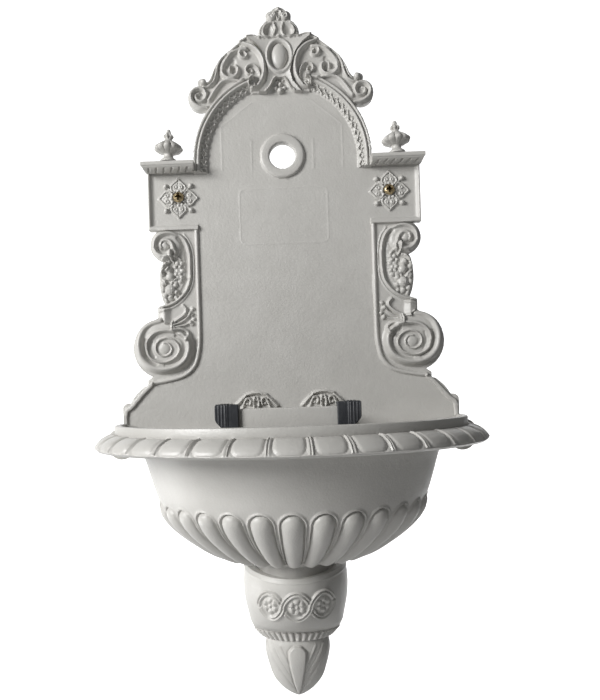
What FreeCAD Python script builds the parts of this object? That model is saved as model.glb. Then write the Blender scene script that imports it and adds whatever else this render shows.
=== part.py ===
import FreeCAD, Part
import math
import os

# A garden wall fountain of painted cast metal: a tall ornamental back plate, a half-oval bowl with an
# egg-and-dart rim, a half-round cover for the trap below it, and a bucket rest inside the bowl.
# Frame: millimetres, +X to the right, +Z up, the wall is the plane Y = 0 and the fountain stands out
# towards -Y. The origin is the centre of the tap hole at the wall.

V = FreeCAD.Vector
doc = FreeCAD.newDocument("wall_fountain")

# Driving dimensions

SIZES = [
    ("plate_thick", 6, "field of the back plate"),
    ("strip_height", 11, "raised strips, from the wall"),
    ("dish_height", 9.5, "ground inside the scrolls, from the wall"),
    ("scroll_height", 14, "scroll bands, from the wall"),
    ("leaf_height", 12, "leaves and husks, from the wall"),
    ("shell_height", 10.5, "shell of the cresting, from the wall"),
    ("medallion_height", 15, "ring of the medallion, from the wall"),
    ("arch_centre_z", -5, "centre of the arch"),
    ("arch_inner", 86.5, "inner radius of the arch moulding"),
    ("arch_outer", 102, "outer radius of the arch moulding"),
    ("arch_height", 15, "arch moulding, from the wall"),
    ("arch_foot", 11.5, "arch moulding below its centre"),
    ("cornice_half", 160, "half width over the cornices"),
    ("cornice_top_z", -7, "top of the cornices"),
    ("cornice_fillet", 4.6, "height of the cornice's square edge"),
    ("cornice_drop", 3.6, "height of the cornice's hollow"),
    ("cornice_depth", 26, "projection of the cornices"),
    ("block_half", 156, "half width over the rosette blocks"),
    ("block_bottom_z", -80.5, "underside of the rosette blocks"),
    ("block_frame", 5.5, "width of the blocks' raised edge"),
    ("strip_edge", 98.4, "inner edge of the upright strips"),
    ("strip_width", 6, "width of the upright strips"),
    ("screw_x", 120.7, "wall screws, from the middle"),
    ("screw_z", -44, "wall screws, height"),
    ("rosette_radius", 9, "rosette round each wall screw"),
    ("rosette_height", 10, "rosette, from the wall"),
    ("tap_hole_radius", 15, "bore for the tap's tail"),
    ("tap_ring_radius", 25.5, "raised ring round the tap hole"),
    ("tap_ring_height", 9, "raised ring, from the wall"),
    ("finial_x", 129.5, "finials, from the middle"),
    ("finial_y", -17, "finials, from the wall"),
    ("stud_radius", 2.5, "studs that hold the finials"),
    ("stud_length", 15, "length of those studs"),
    ("rim_top_z", -302, "top of the bowl's rim"),
    ("rim_half", 197, "half width over the rim's fillet"),
    ("rim_depth", 183, "rim's fillet, from the wall"),
    ("rim_lip", 24.5, "how far the egg moulding stands out"),
    ("rim_fillet_height", 10, "height of the rim's fillet"),
    ("rim_height", 27, "height of the whole rim"),
    ("rim_width", 9, "top of the rim"),
    ("bowl_wall", 6, "thickness of the bowl"),
    ("gadroon_angle", 14.4, "turn from one gadroon to the next"),
    ("gadroon_top_z", -386, "where the gadroons begin"),
    ("gadroon_low_z", -457, "where the gadroons end"),
    ("gadroon_rise", 4.6, "how far a gadroon stands out"),
    ("bowl_floor_z", -449, "floor of the bowl"),
    ("collar_half", 46, "half width of the bowl's collar"),
    ("collar_depth", 57, "collar, from the plate's face"),
    ("collar_top_z", -458, "top of the collar"),
    ("collar_bottom_z", -471, "bottom of the collar"),
    ("collar_bore_radius", 23.5, "hollow inside the collar"),
    ("drain_y", -36, "drain centre, from the wall"),
    ("drain_hole_radius", 18.5, "hole for the drain"),
    ("drain_flange_radius", 23, "flange of the drain grid"),
    ("drain_tail_radius", 16, "tail of the drain"),
    ("drain_tail_z", -520, "lower end of the tail"),
    ("cover_wall", 4.5, "thickness of the siphon cover"),
    ("cover_top_z", -464, "top edge of the siphon cover"),
    ("cover_floor_z", -532, "inside floor of the siphon cover"),
    ("bridge_top_z", -486, "bridge across the cover's back"),
    ("bridge_height", 24, "height of that bridge"),
    ("bridge_thick", 4, "thickness of that bridge"),
    ("rest_bar_y", -84, "back of the rest's bar"),
    ("rest_bar_top_z", -287, "top of the rest's bar"),
    ("rest_bar_height", 24, "height of the bar"),
    ("rest_bar_thick", 12, "thickness of the bar"),
    ("rest_bar_half", 71, "half length of the bar"),
    ("rest_arm_x", 39, "arms of the rest, from the middle"),
    ("rest_arm_width", 14, "width of an arm"),
    ("rest_arm_height", 18, "height of an arm"),
    ("cap_length", 25, "rubber cap along the bar"),
    ("cap_over", 4.5, "how much the cap stands over the bar"),
    ("bolt_radius", 4, "bowl bolts"),
    ("bolt_x", 88, "bowl bolts, from the middle"),
    ("bolt_z", -352, "bowl bolts, height"),
    ("bolt_length", 26, "length of the bowl bolts"),
    ("rest_bolt_radius", 3, "bolts of the bucket rest"),
    ("rest_bolt_length", 30, "length of those bolts"),
    ("wall_screw_radius", 3, "shank of the wall screws"),
    ("wall_screw_head", 6, "head radius of the wall screws"),
    ("wall_screw_length", 60, "length of the wall screws"),
]

sheet = doc.addObject("Spreadsheet::Sheet", "Sizes")
for row, (alias, value, meaning) in enumerate(SIZES, start=1):
    sheet.set(f"A{row}", meaning)
    sheet.set(f"B{row}", str(value))
    sheet.setAlias(f"B{row}", alias)
doc.recompute()


def size(alias):
    return float(sheet.get(alias))


# Outlines
def outline(start, steps):
    """Edges from start through steps: (x, z) is a line's end, (x, z, x, z) an arc's middle and end."""
    edges = []
    here = V(start[0], start[1], 0)
    for step in steps:
        end = V(step[-2], step[-1], 0)
        if len(step) == 2:
            edges.append(Part.LineSegment(here, end))
        else:
            edges.append(Part.Arc(here, V(step[0], step[1], 0), end))
        here = end
    return edges


def mirrored(start, steps):
    """A closed outline: the right half as given, from one middle point to the other, and its mirror."""
    points = [start] + [step[-2:] for step in steps]
    back = []
    for index in range(len(steps) - 1, -1, -1):
        x, z = points[index]
        step = steps[index]
        back.append((-x, z) if len(step) == 2 else (-step[0], step[1], -x, z))
    return outline(start, steps + back)


def polygon(*points):
    return outline(points[0], list(points[1:]) + [points[0]])


def rectangle(x_low, x_high, z_low, z_high):
    return polygon((x_low, z_low), (x_high, z_low), (x_high, z_high), (x_low, z_high))


def hexagon(across_flats):
    reach = across_flats / math.sqrt(3)
    return polygon(*[(reach * math.cos(math.radians(60 * i)), reach * math.sin(math.radians(60 * i)))
                     for i in range(6)])


def half_oval(half_width, depth, back=0.0):
    """Half an ellipse in plan, standing out towards -Y from the line Y = back, and its closing line."""
    curve = Part.BSplineCurve()
    poles = [V(half_width, back, 0), V(half_width, back - depth, 0), V(0, back - depth, 0),
             V(-half_width, back - depth, 0), V(-half_width, back, 0)]
    corner = math.sqrt(0.5)
    curve.buildFromPolesMultsKnots(poles, [3, 2, 3], [0, 0.5, 1], False, 2, [1, corner, 1, corner, 1])
    return [curve, Part.LineSegment(poles[-1], poles[0])]


# Features
def body(name):
    new = doc.addObject("PartDesign::Body", name)
    new.Label = name
    return new


def sketch(owner, name, plane, edges, lift=None):
    """A sketch on one of the body's origin planes, lifted off it by a cell or a number."""
    new = owner.newObject("Sketcher::SketchObject", name)
    support = next(f for f in owner.Origin.OriginFeatures if f.Role == plane)
    new.AttachmentSupport = (support, [""])
    new.MapMode = "FlatFace"
    if lift is not None:
        new.setExpression("AttachmentOffset.Base.z", str(lift))
    new.addGeometry(edges, False)
    return new


def pad(owner, profile, length, reverse=False):
    new = owner.newObject("PartDesign::Pad", profile.Name + "_pad")
    new.Profile = profile
    new.setExpression("Length", str(length))
    new.Reversed = reverse
    profile.Visibility = False
    return new


def pocket(owner, profile, length, reverse=False):
    new = owner.newObject("PartDesign::Pocket", profile.Name + "_pocket")
    new.Profile = profile
    new.setExpression("Length", str(length))
    new.Reversed = reverse
    return new


def turned(owner, name, points, lift=None, plane="XZ_Plane"):
    """A solid of revolution about the sketch's upright axis."""
    profile = sketch(owner, name, plane, polygon(*points), lift)
    new = owner.newObject("PartDesign::Revolution", name + "_turned")
    new.Profile = profile
    new.ReferenceAxis = (profile, ["V_Axis"])
    new.Angle = 360
    return new


def loft(owner, kind, name, sections):
    """A loft through half ovals: each section is (height, half width, depth, back)."""
    profiles = [sketch(owner, f"{name}_{i}", "XY_Plane", half_oval(a, b, back), z)
                for i, (z, a, b, back) in enumerate(sections)]
    new = owner.newObject("PartDesign::" + kind, name)
    new.Profile = profiles[0]
    new.Sections = profiles[1:]
    return new


def pair(name, one):
    """Two equal pieces, one each side of the middle, kept in one node."""
    twin = doc.addObject("Part::Mirroring", name + "_twin")
    twin.Source = one
    twin.Normal = V(1, 0, 0)
    both = doc.addObject("Part::Compound", name)
    both.Links = [one, twin]
    both.Label = name
    return both


NODES = []

# Back plate

BLOCK_X = size("block_half")
CORNICE_X = size("cornice_half")
CORNICE_Z = size("cornice_top_z")
FILLET_Z = CORNICE_Z - size("cornice_fillet")
COVE_Z = FILLET_Z - size("cornice_drop")

# The right half of the plate's edge, from the hidden tongue's bottom to the tip of the cresting.
PLATE_START = (0, -404)
PLATE_EDGE = [
    (92, -404), (114, -398, 120, -378), (128, -340), (186, -340),
    (199, -343, 211, -331), (212, -318, 193, -308), (193, -284), (191, -280.5, 184, -279),
    (178, -270, 167, -260), (163, -259), (163, -253), (157, -249),
    (178.5, -217, 151, -183), (149, -181), (149, -169), (141, -166),
    (146, -140, 141, -117), (155.5, -99, 146, -81), (BLOCK_X, -81),
    (BLOCK_X, COVE_Z), (CORNICE_X, FILLET_Z), (CORNICE_X, CORNICE_Z), (98, CORNICE_Z),
    (95.5, 18, 80.5, 51), (88, 55.5), (106.5, 69, 94, 83), (92.5, 91, 84.5, 86.5), (80, 91),
    (71.5, 107, 59, 122), (52.5, 126.5), (46, 131), (36, 140.5, 22.5, 136),
    (23, 145, 15.5, 154.5), (12.5, 156.5), (14.5, 163, 8, 167.5), (5, 170.5, 0, 171.5),
]

plate = body("plate_casting")
pad(plate, sketch(plate, "plate_field", "XZ_Plane", mirrored(PLATE_START, PLATE_EDGE)), "Sizes.plate_thick")


def on_side(side, start, steps):
    """An outline given for the right half, on either side."""
    def flip(values):
        return tuple(side * value if index % 2 == 0 else value for index, value in enumerate(values))
    return outline(flip(start), [flip(step) for step in steps])


# Cornices: a square fillet over a hollow that narrows to the block.
front = -size("cornice_depth")
inner = size("arch_outer") - 1
fillet_section = rectangle(front, 0, FILLET_Z, CORNICE_Z)
cove_section = outline((0, FILLET_Z), [
    (front + 2, FILLET_Z), (front + 8, FILLET_Z - 1.2, front + 17, COVE_Z), (0, COVE_Z), (0, FILLET_Z)])
for side, word in ((1, "right"), (-1, "left")):
    for name, reach, section in (("fillet", CORNICE_X, fillet_section), ("cove", BLOCK_X, cove_section)):
        lift = inner if side > 0 else -reach
        moulding = sketch(plate, f"cornice_{name}_{word}", "YZ_Plane", section, lift)
        pad(plate, moulding, reach - inner)

# Arch moulding: a fillet and a bead outside a hollow, round the half circle and down its two feet.
def arch_section(side):
    inner = size("arch_inner")
    outer = size("arch_outer")
    high = -size("arch_height")
    return on_side(side, (inner, 0), [
        (outer, 0), (outer, high + 1), (outer - 3, high + 1), (outer - 4, high + 3.5), (outer - 5, high),
        (outer - 7, high), (outer - 8, high + 3.5), (outer - 11.5, high + 6, inner, high + 7.5), (inner, 0)])


ring = sketch(plate, "arch_section", "XY_Plane", arch_section(1), "Sizes.arch_centre_z")
arch = plate.newObject("PartDesign::Revolution", "arch_moulding")
arch.Profile = ring
arch.ReferenceAxis = (ring, ["V_Axis"])
arch.Angle = 180
arch.Reversed = True
feet = sketch(plate, "arch_feet", "XY_Plane", arch_section(1) + arch_section(-1), "Sizes.arch_centre_z")
pad(plate, feet, "Sizes.arch_foot", True)


# Raised work, laid on the plate in levels. Every outline is given for the right half.
def coil(x, z, start_angle, spin, radii, width):
    """A scroll band: its outer edge has these radii at each quarter turn, its inner edge lies inside."""
    def at(index, shrink):
        angle = math.radians(start_angle + spin * 90 * index)
        radius = radii[index] - shrink
        return x + radius * math.cos(angle), z + radius * math.sin(angle)
    last = len(radii) - 1
    steps = [at(i + 1, 0) + at(i + 2, 0) for i in range(0, last, 2)]
    steps.append(at(last, width))
    steps += [at(i - 1, width) + at(i - 2, width) for i in range(last, 0, -2)]
    return at(0, 0), steps + [at(0, 0)]


LOWER_SCROLL = (142.5, -216)
UPPER_SCROLL = (138, -98)
END_SCROLL = (94, 69)
SCROLLS = [
    coil(*LOWER_SCROLL, 90, -1, [33, 32.5, 28.5, 32.5, 24, 23, 19.5, 20.5, 14.5], 6),
    coil(*UPPER_SCROLL, 90, -1, [16.5, 15, 15.3, 11.8, 9, 8, 7.5], 4.6),
    coil(*END_SCROLL, -90, 1, [12, 11, 12, 10.5, 6.5, 5.5, 5], 4.2),
    coil(54, 101, 0, -1, [14.5, 13, 9, 6.5, 5], 4),
    coil(33, 98.5, 90, -1, [11, 10.5, 9.5, 9.5, 6.5, 5, 4], 3.6),
    ((45, 134.5), [(21, 122, 15, 100), (17, 84, 29, 76.5), (29, 81), (22, 88, 21.5, 100),
                   (27, 118, 47, 129), (45, 134.5)]),
]
LEAVES = [
    ((138, -81.5), [(112, -97, 107, -124), (116, -158, 146, -174), (146, -168), (121, -153, 112, -124),
                    (117, -100, 138, -86.1), (138, -81.5)]),
    ((133, -186), [(118, -179.5, 115, -170), (119, -167), (122.5, -177, 134, -182), (133, -186)]),
    ((133, -196), [(118, -194, 112.5, -207), (117, -208.5), (121, -201, 133, -200), (133, -196)]),
    ((64, 116.5), [(73.5, 103, 79, 89), (86, 84), (84, 79.5), (73, 86, 70, 98), (67.5, 106, 62, 112),
                   (64, 116.5)]),
    ((41, 88), [(56, 91, 67, 87), (77, 78, 88, 64), (83, 59), (70, 74, 61, 81), (52, 84.5, 42, 84),
                (41, 88)]),
    ((21, 137), [(20.5, 147, 14, 153.5), (10, 151), (15.5, 146, 16, 137), (21, 137)]),
]
CROSSING_LEAF = ((40, 124), [(54, 122, 65, 110), (62, 106), (52, 116, 40, 119), (40, 124)])
ROSETTE = (size("screw_x"), size("screw_z"))
petal_tip = 24
petal_root = 9
star = []
for quarter in range(4):
    across = math.radians(90 * quarter)
    between = across + math.radians(45)
    star.append((ROSETTE[0] + petal_tip * math.cos(across), ROSETTE[1] + petal_tip * math.sin(across)))
    star.append((ROSETTE[0] + petal_root * math.cos(between), ROSETTE[1] + petal_root * math.sin(between)))
GROUND = [
    (star[0], star[1:] + star[:1]),
    ((14.5, -290), [(17.5, -272, 38.5, -269), (59.5, -272, 62.5, -290), (50.5, -310), (26.5, -310),
                    (14.5, -290)]),
]
DISCS = [(*LOWER_SCROLL, 33.5), (*UPPER_SCROLL, 17), (*END_SCROLL, 11.4)]
EYES = [(*LOWER_SCROLL, 4.6), (31, 82.5, 5.8)]
BLOCKS = [
    ((BLOCK_X, -16), [(BLOCK_X, -81), (size("strip_edge"), -81), (size("strip_edge"), -75.5),
                      (BLOCK_X - size("block_frame"), -75.5), (BLOCK_X - size("block_frame"), -16),
                      (BLOCK_X, -16)]),
    ((134, -171), [(149, -169), (149, -181), (140, -187), (134, -188), (134, -171)]),
]
SHELL_START = (0, 86)
SHELL = [(5, 84), (14, 73), (26, 73), (16, 84, 12.5, 95), (17, 118, 38, 137.5), (22, 135.5), (0, 135.5)]


def circles(rounds):
    """Circles of the right half and their mirror images."""
    return [Part.Circle(V(side * x, z, 0), V(0, 0, 1), radius)
            for x, z, radius in rounds for side in (1, -1)]


def both_halves(shapes):
    return [edge for start, steps in shapes for side in (1, -1) for edge in on_side(side, start, steps)]


def oval(half_width, half_height, z):
    """An upright ellipse on the middle line."""
    return Part.Ellipse(V(0, z + half_height, 0), V(half_width, z, 0), V(0, z, 0))


MEDALLION_Z = 113.2
LEVELS = [
    ("ground", both_halves(GROUND) + circles(DISCS), "Sizes.dish_height"),
    ("shell", mirrored(SHELL_START, SHELL), "Sizes.shell_height"),
    ("block_edges", both_halves(BLOCKS), "Sizes.strip_height + 1.5"),
    ("scrolls", both_halves(SCROLLS), "Sizes.scroll_height"),
    ("medallion", [oval(15.4, 20.4, MEDALLION_Z), oval(11.6, 16.6, MEDALLION_Z), oval(2.4, 8, 147)]
     + circles(EYES), "Sizes.medallion_height"),
    ("leaves", both_halves(LEAVES), "Sizes.leaf_height"),
    ("crossing_leaf", both_halves([CROSSING_LEAF]), "Sizes.leaf_height"),
]
for name, edges, height in LEVELS:
    pad(plate, sketch(plate, "level_" + name, "XZ_Plane", edges), height)

# Upright strips: straight down from the blocks, then a long curve out to the lower corners.
STRIP_FOOT_X = 161
STRIP_FOOT_Z = -253
edge = size("strip_edge")
wide = size("strip_width")
strip = ((edge, -79), [
    (edge, -205), (edge + 8.5, -240, STRIP_FOOT_X, STRIP_FOOT_Z - 5.4), (STRIP_FOOT_X, STRIP_FOOT_Z),
    (edge + wide + 8.5, -236, edge + wide, -205), (edge + wide, -79), (edge, -79)])
pad(plate, sketch(plate, "strips", "XZ_Plane", both_halves([strip])), "Sizes.strip_height")

SEATS = circles([(*ROSETTE, size("rosette_radius"))])
pad(plate, sketch(plate, "rosette_seats", "XZ_Plane", SEATS), "Sizes.rosette_height")
tap_ring = Part.Circle(V(0, 0, 0), V(0, 0, 1), size("tap_ring_radius"))
pad(plate, sketch(plate, "tap_ring", "XZ_Plane", [tap_ring]), "Sizes.tap_ring_height")
tap_hole = Part.Circle(V(0, 0, 0), V(0, 0, 1), size("tap_hole_radius"))
pocket(plate, sketch(plate, "tap_hole", "XZ_Plane", [tap_hole]), "Sizes.tap_ring_height + 1", True)
doc.recompute()


def cylinder(name, radius, length, x, y, z, along):
    """A cylinder from (x, y, z) along a direction, its radius and length read from cells."""
    new = doc.addObject("Part::Cylinder", name)
    new.setExpression("Radius", str(radius))
    new.setExpression("Height", str(length))
    new.Placement = FreeCAD.Placement(V(x, y, z), FreeCAD.Rotation(V(0, 0, 1), V(*along)))
    return new


def cone(name, wide, narrow, length, x, y, z, along):
    new = doc.addObject("Part::Cone", name)
    new.setExpression("Radius1", str(wide))
    new.setExpression("Radius2", str(narrow))
    new.setExpression("Height", str(length))
    new.Placement = FreeCAD.Placement(V(x, y, z), FreeCAD.Rotation(V(0, 0, 1), V(*along)))
    return new


def join(name, pieces):
    new = doc.addObject("Part::MultiFuse", name)
    new.Shapes = pieces
    return new


def cut(name, base, tools):
    """The base less every tool."""
    new = doc.addObject("Part::Cut", name)
    new.Base = base
    new.Tool = tools[0] if len(tools) == 1 else join(name + "_tools", tools)
    new.Label = name
    return new


FRONT = (0, -1, 0)
UP = (0, 0, 1)
DOWN = (0, 0, -1)
BOTH = ((1, "right"), (-1, "left"))

holes = []
for side, word in BOTH:
    x = side * size("screw_x")
    z = size("screw_z")
    holes.append(cylinder("screw_hole_" + word, "Sizes.wall_screw_radius + 0.3", 20, x, 2, z, FRONT))
    holes.append(cone("screw_sink_" + word, "Sizes.wall_screw_radius", "Sizes.wall_screw_head + 0.3", 4,
                      x, -size("rosette_height") + 4, z, FRONT))
    x = side * size("bolt_x")
    z = size("bolt_z")
    holes.append(cylinder("bolt_hole_" + word, "Sizes.bolt_radius", 20, x, 2, z, FRONT))
    holes.append(cone("bolt_sink_" + word, "Sizes.bolt_radius * 2", "Sizes.bolt_radius", 4, x, 0, z, FRONT))
    x = side * size("rest_arm_x")
    z = size("rest_bar_top_z") - size("rest_arm_height") / 2 - 3
    holes.append(cylinder("rest_hole_" + word, "Sizes.rest_bolt_radius", 20, x, 2, z, FRONT))
    holes.append(cone("rest_sink_" + word, "Sizes.rest_bolt_radius * 2", "Sizes.rest_bolt_radius", 3,
                      x, 0, z, FRONT))
    holes.append(cylinder("stud_hole_" + word, "Sizes.stud_radius", "Sizes.stud_length / 2 + 1",
                          side * size("finial_x"), size("finial_y"), size("cornice_top_z") + 1, DOWN))

# Round work that stands on the plate: the fruit of the garlands and the stone of the medallion.
BALLS = [(134.4, -134, -6.6, 6.2), (133.4, -149, -7.4, 7.2)]
rounds = []
for index, (x, z, y, radius) in enumerate(BALLS):
    for side, word in BOTH:
        ball = doc.addObject("Part::Sphere", f"ball_{index}_{word}")
        ball.Radius = radius
        ball.Placement = FreeCAD.Placement(V(side * x, y, z), FreeCAD.Rotation())
        rounds.append(ball)
stone = doc.addObject("Part::Ellipsoid", "medallion_stone")
stone.Radius1 = 6
stone.Radius2 = 9.6
stone.Radius3 = 15.6
stone.Placement = FreeCAD.Placement(V(0, -8.5, MEDALLION_Z), FreeCAD.Rotation(V(1, 0, 0), 90))
back_plate = cut("back_plate", join("plate_with_rounds", [plate, stone] + rounds), holes)
NODES.append(back_plate)

# Finials: lobed urns with a bead ring and a knob, each held by a stud.
FINIAL = [(0, 0), (9.2, 0), (9.2, 2), (6, 4.5), (5.8, 6.5), (9, 8), (14.8, 9.8), (16.4, 13), (14.8, 16),
          (8.8, 19.8), (6.2, 23), (7.4, 26.5), (5.8, 28.8), (3.8, 30), (3, 31.4), (4, 33.4),
          (2.6, 36.4), (0, 37.2)]
studs = []
for side, word in BOTH:
    base_z = size("cornice_top_z")
    urn = body("finial_urn_" + word)
    turned(urn, "urn_" + word, FINIAL)
    x = side * size("finial_x")
    y = size("finial_y")
    urn.Placement = FreeCAD.Placement(V(x, y, base_z), FreeCAD.Rotation())
    socket = cylinder("finial_socket_" + word, "Sizes.stud_radius", "Sizes.stud_length / 2 + 1",
                      x, y, base_z - 1, UP)
    NODES.append(cut("finial_" + word, urn, [socket]))
    studs.append(cylinder("stud_" + word, "Sizes.stud_radius", "Sizes.stud_length",
                          x, y, base_z - size("stud_length") / 2, UP))
finial_studs = doc.addObject("Part::Compound", "finial_studs")
finial_studs.Links = studs
NODES.append(finial_studs)

# Bowl: half ovals from the rim down to the collar. Heights, half widths and depths from the plate's face.
BOWL = [(-318, 176, 158), (-338, 167, 147), (-368, 157.5, 137.5), (-388, 150.5, 131), (-407, 140, 122),
        (-424, 122.5, 107), (-440, 100, 89), (-452, 75, 72), (-460, 56, 58)]
face = -size("plate_thick")
bowl_body = body("bowl_casting")
loft(bowl_body, "AdditiveLoft", "belly", [(z, a, b, face) for z, a, b in BOWL])
doc.recompute()
collar = sketch(bowl_body, "collar", "XY_Plane",
                half_oval(size("collar_half"), size("collar_depth"), face), "Sizes.collar_bottom_z")
pad(bowl_body, collar, "Sizes.collar_top_z - Sizes.collar_bottom_z + 4")
doc.recompute()

# Rim: one moulding swept round the half oval of its fillet.
path = sketch(bowl_body, "rim_path", "XY_Plane",
              half_oval(size("rim_half"), size("rim_depth") + face, face)[:1], "Sizes.rim_top_z")
edge = size("rim_half")
top = size("rim_top_z")
lip = size("rim_lip")
fillet = size("rim_fillet_height")
low = top - size("rim_height")
section = sketch(bowl_body, "rim_section", "XZ_Plane", outline((edge - size("rim_width"), top), [
    (edge, top), (edge, top - fillet), (edge + 2, top - fillet - 0.5),
    (edge + lip * 0.72, top - fillet - 4, edge + lip, low + 5), (edge + lip - 1, low),
    (edge - 26, low - 1), (edge - 32, low - 1), (edge - 26, low + 12), (edge - 12, top - 12),
    (edge - size("rim_width"), top)]), -face)
rim = bowl_body.newObject("PartDesign::AdditivePipe", "rim")
rim.Profile = section
rim.Spine = (path, [])
doc.recompute()

# Inside of the bowl, a wall's thickness smaller, with a flat floor and a flat back wall.
wall = size("bowl_wall")
back = face - wall
INSIDE = [(top + 1, edge - size("rim_width"), size("rim_depth") - size("rim_width") + back),
          (top - 11, edge - size("rim_width") - 2, size("rim_depth") - size("rim_width") - 2 + back)]
INSIDE += [(z, a - wall, b - 2 * wall) for z, a, b in BOWL[1:7]] + [(size("bowl_floor_z"), 72, 62)]
inside_body = body("bowl_inside")
loft(inside_body, "AdditiveLoft", "inside", [(z, a, b, back) for z, a, b in INSIDE])
doc.recompute()


# Gadroons: each is a spindle laid along the belly, most of it sunk, so a round-headed lobe stands out.
GADROON_MIDDLE_Z = -426
LOBES_EACH_SIDE = 6
HEAD_SINK = 10
FOOT_SINK = 4


def belly_point(z, turn):
    """A point of the belly at a height and a turn from the middle."""
    sections = sorted(BOWL)
    for (z0, a0, b0), (z1, a1, b1) in zip(sections, sections[1:]):
        if z0 <= z <= z1:
            share = (z - z0) / (z1 - z0)
            wide = a0 + (a1 - a0) * share
            deep = b0 + (b1 - b0) * share
    return V(wide * math.sin(turn), face - deep * math.cos(turn), z)


def gadroon(number):
    turn = math.radians(size("gadroon_angle") * number)
    head = belly_point(size("gadroon_top_z"), turn)
    foot = belly_point(size("gadroon_low_z"), turn)
    middle = belly_point(GADROON_MIDDLE_Z, turn)
    chord = (foot - head).normalize()
    outward = (middle - head) - chord * ((middle - head) * chord)
    outward.normalize()
    middle = middle + outward * size("gadroon_rise")
    start = head - outward * HEAD_SINK
    axis = foot - outward * FOOT_SINK - start
    length = axis.Length
    axis.normalize()
    along = (middle - start) * axis
    reach = (middle - start - axis * along).Length
    lobe = body(f"gadroon_{number + LOBES_EACH_SIDE}")
    profile = sketch(lobe, lobe.Name + "_profile", "XZ_Plane", outline((0, 0), [
        (HEAD_SINK, 0), (HEAD_SINK + 3.4, 2.6), (HEAD_SINK + 4.6, 6.5),
        (reach, along, FOOT_SINK, length), (0, length), (0, 0)]))
    spin = lobe.newObject("PartDesign::Revolution", lobe.Name + "_turned")
    spin.Profile = profile
    spin.ReferenceAxis = (profile, ["V_Axis"])
    spin.Angle = 360
    lobe.Placement = FreeCAD.Placement(start, FreeCAD.Rotation(V(0, 0, 1), axis))
    return lobe


lobes = [gadroon(number) for number in range(-LOBES_EACH_SIDE, LOBES_EACH_SIDE + 1)]
behind = doc.addObject("Part::Box", "behind_the_bowl")
behind.Length = 400
behind.Width = 60
behind.Height = 120
behind.Placement = FreeCAD.Placement(V(-200, face, -475), FreeCAD.Rotation())

drain_y = size("drain_y")
floor = size("bowl_floor_z")
bowl_holes = [cylinder("drain_hole", "Sizes.drain_hole_radius", 30, 0, drain_y, floor + 1, DOWN),
              cylinder("collar_bore", "Sizes.collar_bore_radius", 12, 0, drain_y,
                       size("collar_bottom_z") - 2, UP)]
for side, word in BOTH:
    bowl_holes.append(cylinder("bowl_bolt_hole_" + word, "Sizes.bolt_radius", 20, side * size("bolt_x"), 0,
                               size("bolt_z"), FRONT))
bowl = cut("bowl", join("bowl_outside", [bowl_body] + lobes), [inside_body, behind] + bowl_holes)
NODES.append(bowl)

# Bowl bolts: countersunk from behind the plate, with a washer and a nut inside the bowl.
z = size("bolt_z")
x = size("bolt_x")
head = cone("bowl_bolt_head", "Sizes.bolt_radius * 2", "Sizes.bolt_radius", 4, x, 0, z, FRONT)
shank = cylinder("bowl_bolt_shank", "Sizes.bolt_radius", "Sizes.bolt_length", x, 0, z, FRONT)
NODES.append(pair("bowl_bolts", join("bowl_bolt", [head, shank])))

washer_thick = 1.6
nut_thick = 6.5
washer = body("bowl_washer")
washer_ring = sketch(washer, "washer_ring", "XZ_Plane",
                     [Part.Circle(V(x, z, 0), V(0, 0, 1), size("bolt_radius") * 2.1),
                      Part.Circle(V(x, z, 0), V(0, 0, 1), size("bolt_radius"))], -back)
pad(washer, washer_ring, washer_thick)
NODES.append(pair("bowl_washers", washer))
nut = body("bowl_nut")
flats = hexagon(13)
for edge_line in flats:
    edge_line.translate(V(x, z, 0))
nut_bore = Part.Circle(V(x, z, 0), V(0, 0, 1), size("bolt_radius"))
pad(nut, sketch(nut, "nut_flats", "XZ_Plane", flats + [nut_bore], washer_thick - back), nut_thick)
NODES.append(pair("bowl_nuts", nut))

# Drain: a flanged grid, its gaskets, the tail below the floor and the screw that draws them together.
under = size("collar_bottom_z") + 10
flange = size("drain_flange_radius")
neck = size("drain_hole_radius") - 0.5
tail = size("drain_tail_radius")
gasket_thick = 1.5
tube_wall = 2
grid_low = floor + gasket_thick
grid_top = grid_low + 2.5
nut_low = under - gasket_thick


def drain_ring(name, points):
    """A turned piece of the drain, on the drain's own axis."""
    piece = body(name)
    turned(piece, name + "_profile", points)
    piece.Placement = FreeCAD.Placement(V(0, drain_y, 0), FreeCAD.Rotation())
    return piece


NODES.append(drain_ring("drain_gasket_upper", [
    (neck, floor), (flange, floor), (flange, grid_low), (neck, grid_low)]))
NODES.append(drain_ring("drain_gasket_lower", [
    (neck, nut_low), (flange - 0.5, nut_low), (flange - 0.5, under), (neck, under)]))
plate_disc = drain_ring("grid_disc", [
    (0, grid_low), (flange, grid_low), (flange, grid_low + 1), (flange - 2, grid_top),
    (flange - 6, grid_top - 0.8), (0, grid_top - 0.8)])
GRID_HOLES = 8
grid_circle = 11
grid_tools = [cylinder("grid_screw_hole", 2.5, 8, 0, drain_y, grid_low - 3, UP)]
for number in range(GRID_HOLES):
    turn = 2 * math.pi * number / GRID_HOLES
    grid_tools.append(cylinder(f"grid_hole_{number}", 2.6, 8, grid_circle * math.cos(turn),
                               drain_y + grid_circle * math.sin(turn), grid_low - 2, UP))
NODES.append(cut("drain_grid", plate_disc, grid_tools))

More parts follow.
